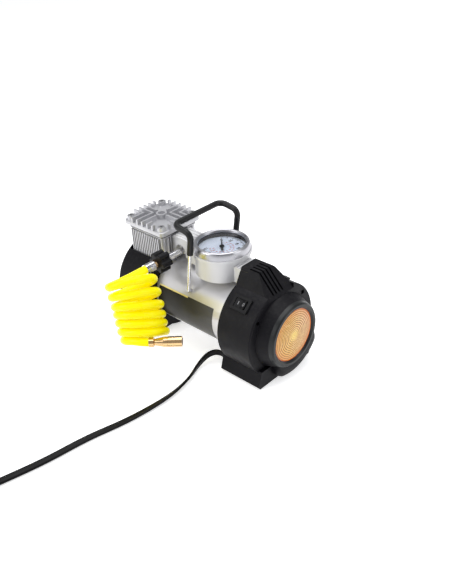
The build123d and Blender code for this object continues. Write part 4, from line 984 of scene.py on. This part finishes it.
# ---------- lamp
@dataclass
class WorkLamp(SubAssembly):
    """Ribbed amber lens over the bulb, with a red gasket line under the bezel's lip."""

    bezel_x: float = 107.0
    rings: int = 12
    hub: float = 0.4
    lens_radius: float = 27.6

    def lens_profile(self) -> list[tuple[float, float]]:
        """Outline the lens from its middle out and back.

        Returns:
            Points as (distance along the motor, radius), in millimetres.
        """
        points = []
        for ring in range(self.rings):
            start = self.hub + ring * self.pitch
            dome = 1.5 - 1.1 * (start / self.lens_radius) ** 2
            for share, rise in ((0.0, -0.12), (0.25, 0.0), (0.5, 0.07), (0.75, 0.02)):
                points.append((dome + rise, start + share * self.pitch))
        points += [(0.0, self.lens_radius), (-2.3, self.lens_radius + 0.9), (-2.6, self.lens_radius)]
        points += [(-1.4, self.lens_radius - 1.5), (-1.0, self.hub), points[0]]
        return points

    @property
    def pitch(self) -> float:
        """Distance from ring to ring, in millimetres."""
        return (self.lens_radius - 1.0) / self.rings

    def shade(self) -> None:
        """Build the lens's amber: painted shade between its rings, a painted reflection towards one side, painted
        glints, redder at its rim, and a painted glint over the bulb.
        """
        graph = self.shop.material("lens_rings", self.shop.finishes.lens_amber)
        across = graph.vector("MULTIPLY_ADD", graph.position(), (0, 1, 1), (0, 0, -AXIS_Z * MM)).outputs[0]
        radius = graph.vector("LENGTH", across).outputs["Value"]
        turn = 2 * math.pi / self.pitch
        wave = graph.reckon("COSINE", graph.reckon("MULTIPLY_ADD", radius, turn / MM, -turn * self.hub))
        # Painted reflection: the amber turns paler and pinker towards +Y.
        painted_reflection_side = graph.spread(graph.coordinate("Y"), -0.006, 0.022, 0.0, 0.8)
        # Painted shade: darker amber between the rings.
        painted_ring_shade = graph.spread(wave, -0.3, 0.6, 0.0, 0.95)
        # Painted glints: bright specks scattered by noise.
        painted_glints = graph.spread(graph.noise(420.0, 1.0), 0.54, 0.66, 0.0, 0.3)
        rim = graph.spread(radius, 0.018, 0.028, 0.0, 0.55)
        # Painted highlight: a bright spot over the bulb in the middle.
        painted_bulb_glint = graph.spread(radius, 0.008, 0.002, 0.0, 0.7)
        # Tints in turn: painted reflection, painted shade between rings, painted glints, redder rim, painted glint
        # over the bulb.
        for share, colour in ((painted_reflection_side, (0.86, 0.56, 0.34)), (painted_ring_shade, (0.34, 0.14, 0.03)), (painted_glints, (0.98, 0.74, 0.30)),
                              (rim, (0.78, 0.27, 0.07)), (painted_bulb_glint, (1.0, 0.76, 0.20))):
            graph.tint(share, colour)

    def filament(self) -> bpy.types.Object:
        """Coil the bulb's fine wire.

        Returns:
            The wire.
        """
        turns, per_turn, loop, length = 6, 8, 0.35, 4.2
        count = turns * per_turn
        route = []
        for step in range(count + 1):
            angle = 2 * math.pi * step / per_turn
            route.append(mm(self.bezel_x - 13 + loop * math.sin(angle), length * (step / count - 0.5),
                            AXIS_Z + 0.8 + loop * math.cos(angle)))
        wire = spline_curve("bulb_filament", route)
        wire.data.bevel_depth = 0.12 * MM
        return wire

    def build(self) -> None:
        """Make the lens, its gasket and the filament behind it."""
        self.shade()
        origin = mm(self.bezel_x - 2.6, 0, AXIS_Z)
        lens = self.shop.lathe("ribbed_lens", self.lens_profile(), origin, ALONG_MOTOR, 128)
        self.shop.seat(lens, "lens_amber", "lens_rings")
        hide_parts("lamp_lens")
        lip = [(0.1, 28.9), (0.5, 27.5), (-0.3, 27.0), (-0.7, 28.9), (0.1, 28.9)]
        self.shop.seat(self.shop.lathe("lens_gasket", lip, origin, ALONG_MOTOR), "lens_amber", "rim_red")
        self.shop.seat(self.filament(), "clear", "ink_gold")


@dataclass
class FrontSkirt(SubAssembly):
    """Rounded lip of the front housing under the lamp, which swells out of the lamp's cone."""

    start: float = 226.0
    end: float = 350.0
    fade: float = 28.0
    inner: float = 33.0
    steps: int = 72

    def swell(self, degrees: float) -> float:
        """How far the lip has grown at an angle, from 0 at its ends to 1.

        Args:
            degrees: Angle round the motor's axis.

        Returns:
            The share.
        """
        share = max(0.0, min(1.0, (degrees - self.start) / self.fade, (self.end - degrees) / self.fade))
        return share * share * (3 - 2 * share)

    def build(self) -> None:
        """Make the lip."""
        profile = [(86.0, 48.6), (95.0, 48.6), (99.0, 48.2), (101.6, 47.2), (103.2, 45.6), (104.0, 43.4),
                   (104.3, 38.0), (104.3, self.inner), (86.0, self.inner)]
        points = []
        for step in range(self.steps + 1):
            degrees = self.start + (self.end - self.start) * step / self.steps
            points += [round_motor(x, self.inner + (radius - self.inner) * self.swell(degrees), degrees)
                       for x, radius in profile]
        self.shop.seat(self.shop.tube("front_skirt", points, len(profile), False), "black_plastic")


# ---------- switch
@dataclass
class SwitchMarks(SubAssembly):
    """Printed marks of the power rocker: a bar for on and a ring for off."""

    x: float = 67.0
    radius: float = 47.5
    degrees: float = 131.0
    reach: float = 1.7
    bore: float = 1.1
    half_bar: float = 0.35
    thick: float = 0.1

    def plane(self, side: float, lift: float, tilt: float) -> Matrix:
        """Plane on one wing of the rocker.

        Args:
            side: Distance from the rocker's middle along the motor, in millimetres.
            lift: Height over the housing's drum, in millimetres.
            tilt: The wing's slope in degrees.

        Returns:
            The plane's matrix, with its own x along the motor.
        """
        angle = math.radians(self.degrees)
        normal = Vector((0, math.cos(angle), math.sin(angle)))
        base = Matrix((ALONG_MOTOR, normal.cross(ALONG_MOTOR), normal)).transposed().to_4x4()
        base.translation = round_motor(self.x, self.radius, self.degrees)
        return base @ Matrix.Translation(mm(side, 0, lift)) @ Matrix.Rotation(math.radians(tilt), 4, "Y")

    def build(self) -> None:
        """Make the two marks."""
        wide, high = self.half_bar, self.reach
        outline = [(-wide, -high), (wide, -high), (wide, high), (-wide, high)]
        marks = [self.shop.prism(outline, self.plane(-3.4, 2.46, 13.6), self.thick)]
        right = self.plane(3.4, 3.2, -25.8)
        steps = 32
        for step in range(steps):
            a0, a1 = (2 * math.pi * edge / steps for edge in (step, step + 1))
            arc = [(size * math.cos(angle), size * math.sin(angle))
                   for size, angle in ((self.reach, a0), (self.reach, a1), (self.bore, a1), (self.bore, a0))]
            marks.append(self.shop.prism(arc, right, self.thick))
        self.shop.seat(self.shop.join("power_rocker_marks", marks), "black_nylon", "ink_white", "power_switch")


# ---------- studio
@dataclass
class Studio:
    """Camera, floor, lamps and world."""

    position: Point = (455.1, -442.3, 453.8)
    lens: float = 55.75
    shift: float = 0.0219
    reach: float = 6.0
    aim: Vector = field(default_factory=lambda: Vector((0, 0, 0.05)))

    def camera(self) -> None:
        """Create the camera and make it the scene's."""
        data = bpy.data.cameras.new("view")
        data.sensor_fit = "HORIZONTAL"
        data.sensor_width = 36.0
        data.lens = self.lens
        data.shift_x = self.shift
        camera = add_object("view", data)
        back = VIEW_BACK.normalized()
        right = (VIEW_RIGHT - back * VIEW_RIGHT.dot(back)).normalized()
        turn = Matrix((right, back.cross(right), back)).transposed().to_4x4()
        turn.translation = mm(*self.position)
        camera.matrix_world = turn
        bpy.context.scene.camera = camera

    def world(self) -> None:
        """White world for the camera, and a soft even fill for the object."""
        world = bpy.data.worlds.new("studio")
        bpy.context.scene.world = world
        world.use_nodes = True
        graph = Graph(world.node_tree)
        fill = graph.tree.nodes["Background"]
        graph.fill(fill, {"Color": (0.96, 0.97, 1.0, 1), "Strength": 0.45})
        white = graph.add("Background", {"Color": (1, 1, 1, 1), "Strength": 1.0})
        seen = graph.add("LightPath", {}).outputs["Is Camera Ray"]
        mix = graph.add("MixShader", {0: seen, 1: fill.outputs[0], 2: white.outputs[0]})
        graph.fill(graph.tree.nodes["World Output"], {"Surface": mix.outputs[0]})

    def floor(self) -> None:
        """Pale floor that turns white for the camera, mirrors and glass but keeps the object's soft shadow."""
        data = bpy.data.meshes.new("floor")
        data.from_pydata([(x * self.reach, y * self.reach, 0) for x, y in ((-1, -1), (1, -1), (1, 1), (-1, 1))], [],
                         [(0, 1, 2, 3)])
        floor = add_object("floor", data)
        floor.location.z = -0.0001
        material = bpy.data.materials.new("floor")
        material.use_nodes = True
        graph = Graph(material.node_tree)
        shader = graph.tree.nodes["Principled BSDF"]
        graph.fill(shader, {"Roughness": 0.9, "Specular IOR Level": 0.1, "Base Color": (0.84, 0.84, 0.85, 1)})
        path = graph.add("LightPath", {}).outputs
        seen = graph.reckon("MAXIMUM", path["Is Camera Ray"], path["Is Glossy Ray"])
        seen = graph.reckon("MAXIMUM", seen, path["Is Transmission Ray"])
        glow = graph.add("Emission", {"Strength": 1.0, "Color": (0.58, 0.58, 0.58, 1)})
        black = graph.add("Emission", {"Strength": 0.0})
        choose = graph.add("MixShader", {0: seen, 1: black.outputs[0], 2: glow.outputs[0]})
        both = graph.add("AddShader", {0: shader.outputs[0], 1: choose.outputs[0]})
        graph.fill(graph.tree.nodes["Material Output"], {"Surface": both.outputs[0]})
        data.materials.append(material)

    def lamp(self, name: str, place: Point, size: tuple[float, float], power: float) -> None:
        """Add a soft box that faces the object.

        Args:
            name: The lamp's name.
            place: Its middle, in metres.
            size: Its width and height, in metres.
            power: Its power in watts.
        """
        data = bpy.data.lights.new(name, "AREA")
        data.shape = "RECTANGLE"
        data.size, data.size_y = size
        data.energy = power
        lamp = add_object(name, data)
        lamp.location = place
        lamp.rotation_euler = (self.aim - Vector(place)).to_track_quat("-Z", "Y").to_euler()

    def build(self) -> None:
        """Set up the whole studio."""
        bpy.context.scene.view_settings.view_transform = "Standard"
        self.camera()
        self.world()
        self.floor()
        self.lamp("top_box", (-0.15, 0.1, 1.3), (1.2, 1.2), 14.5)
        self.lamp("left_box", (-0.5, -1.25, 0.75), (0.8, 1.0), 9.5)
        self.lamp("right_box", (1.3, 0.45, 0.7), (0.8, 1.1), 6.0)


def main() -> None:
    """Build the studio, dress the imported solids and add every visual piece."""
    logging.basicConfig(level=logging.INFO, format="%(name)s: %(message)s")
    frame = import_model()
    Studio().build()
    shop = Workshop(frame, Finishes())
    for part in (PackedNodes, AirHose, PowerCord, Gauge, Label, WorkLamp, FrontSkirt, SwitchMarks):
        part(shop).build()


if __name__ == "__main__":
    main()
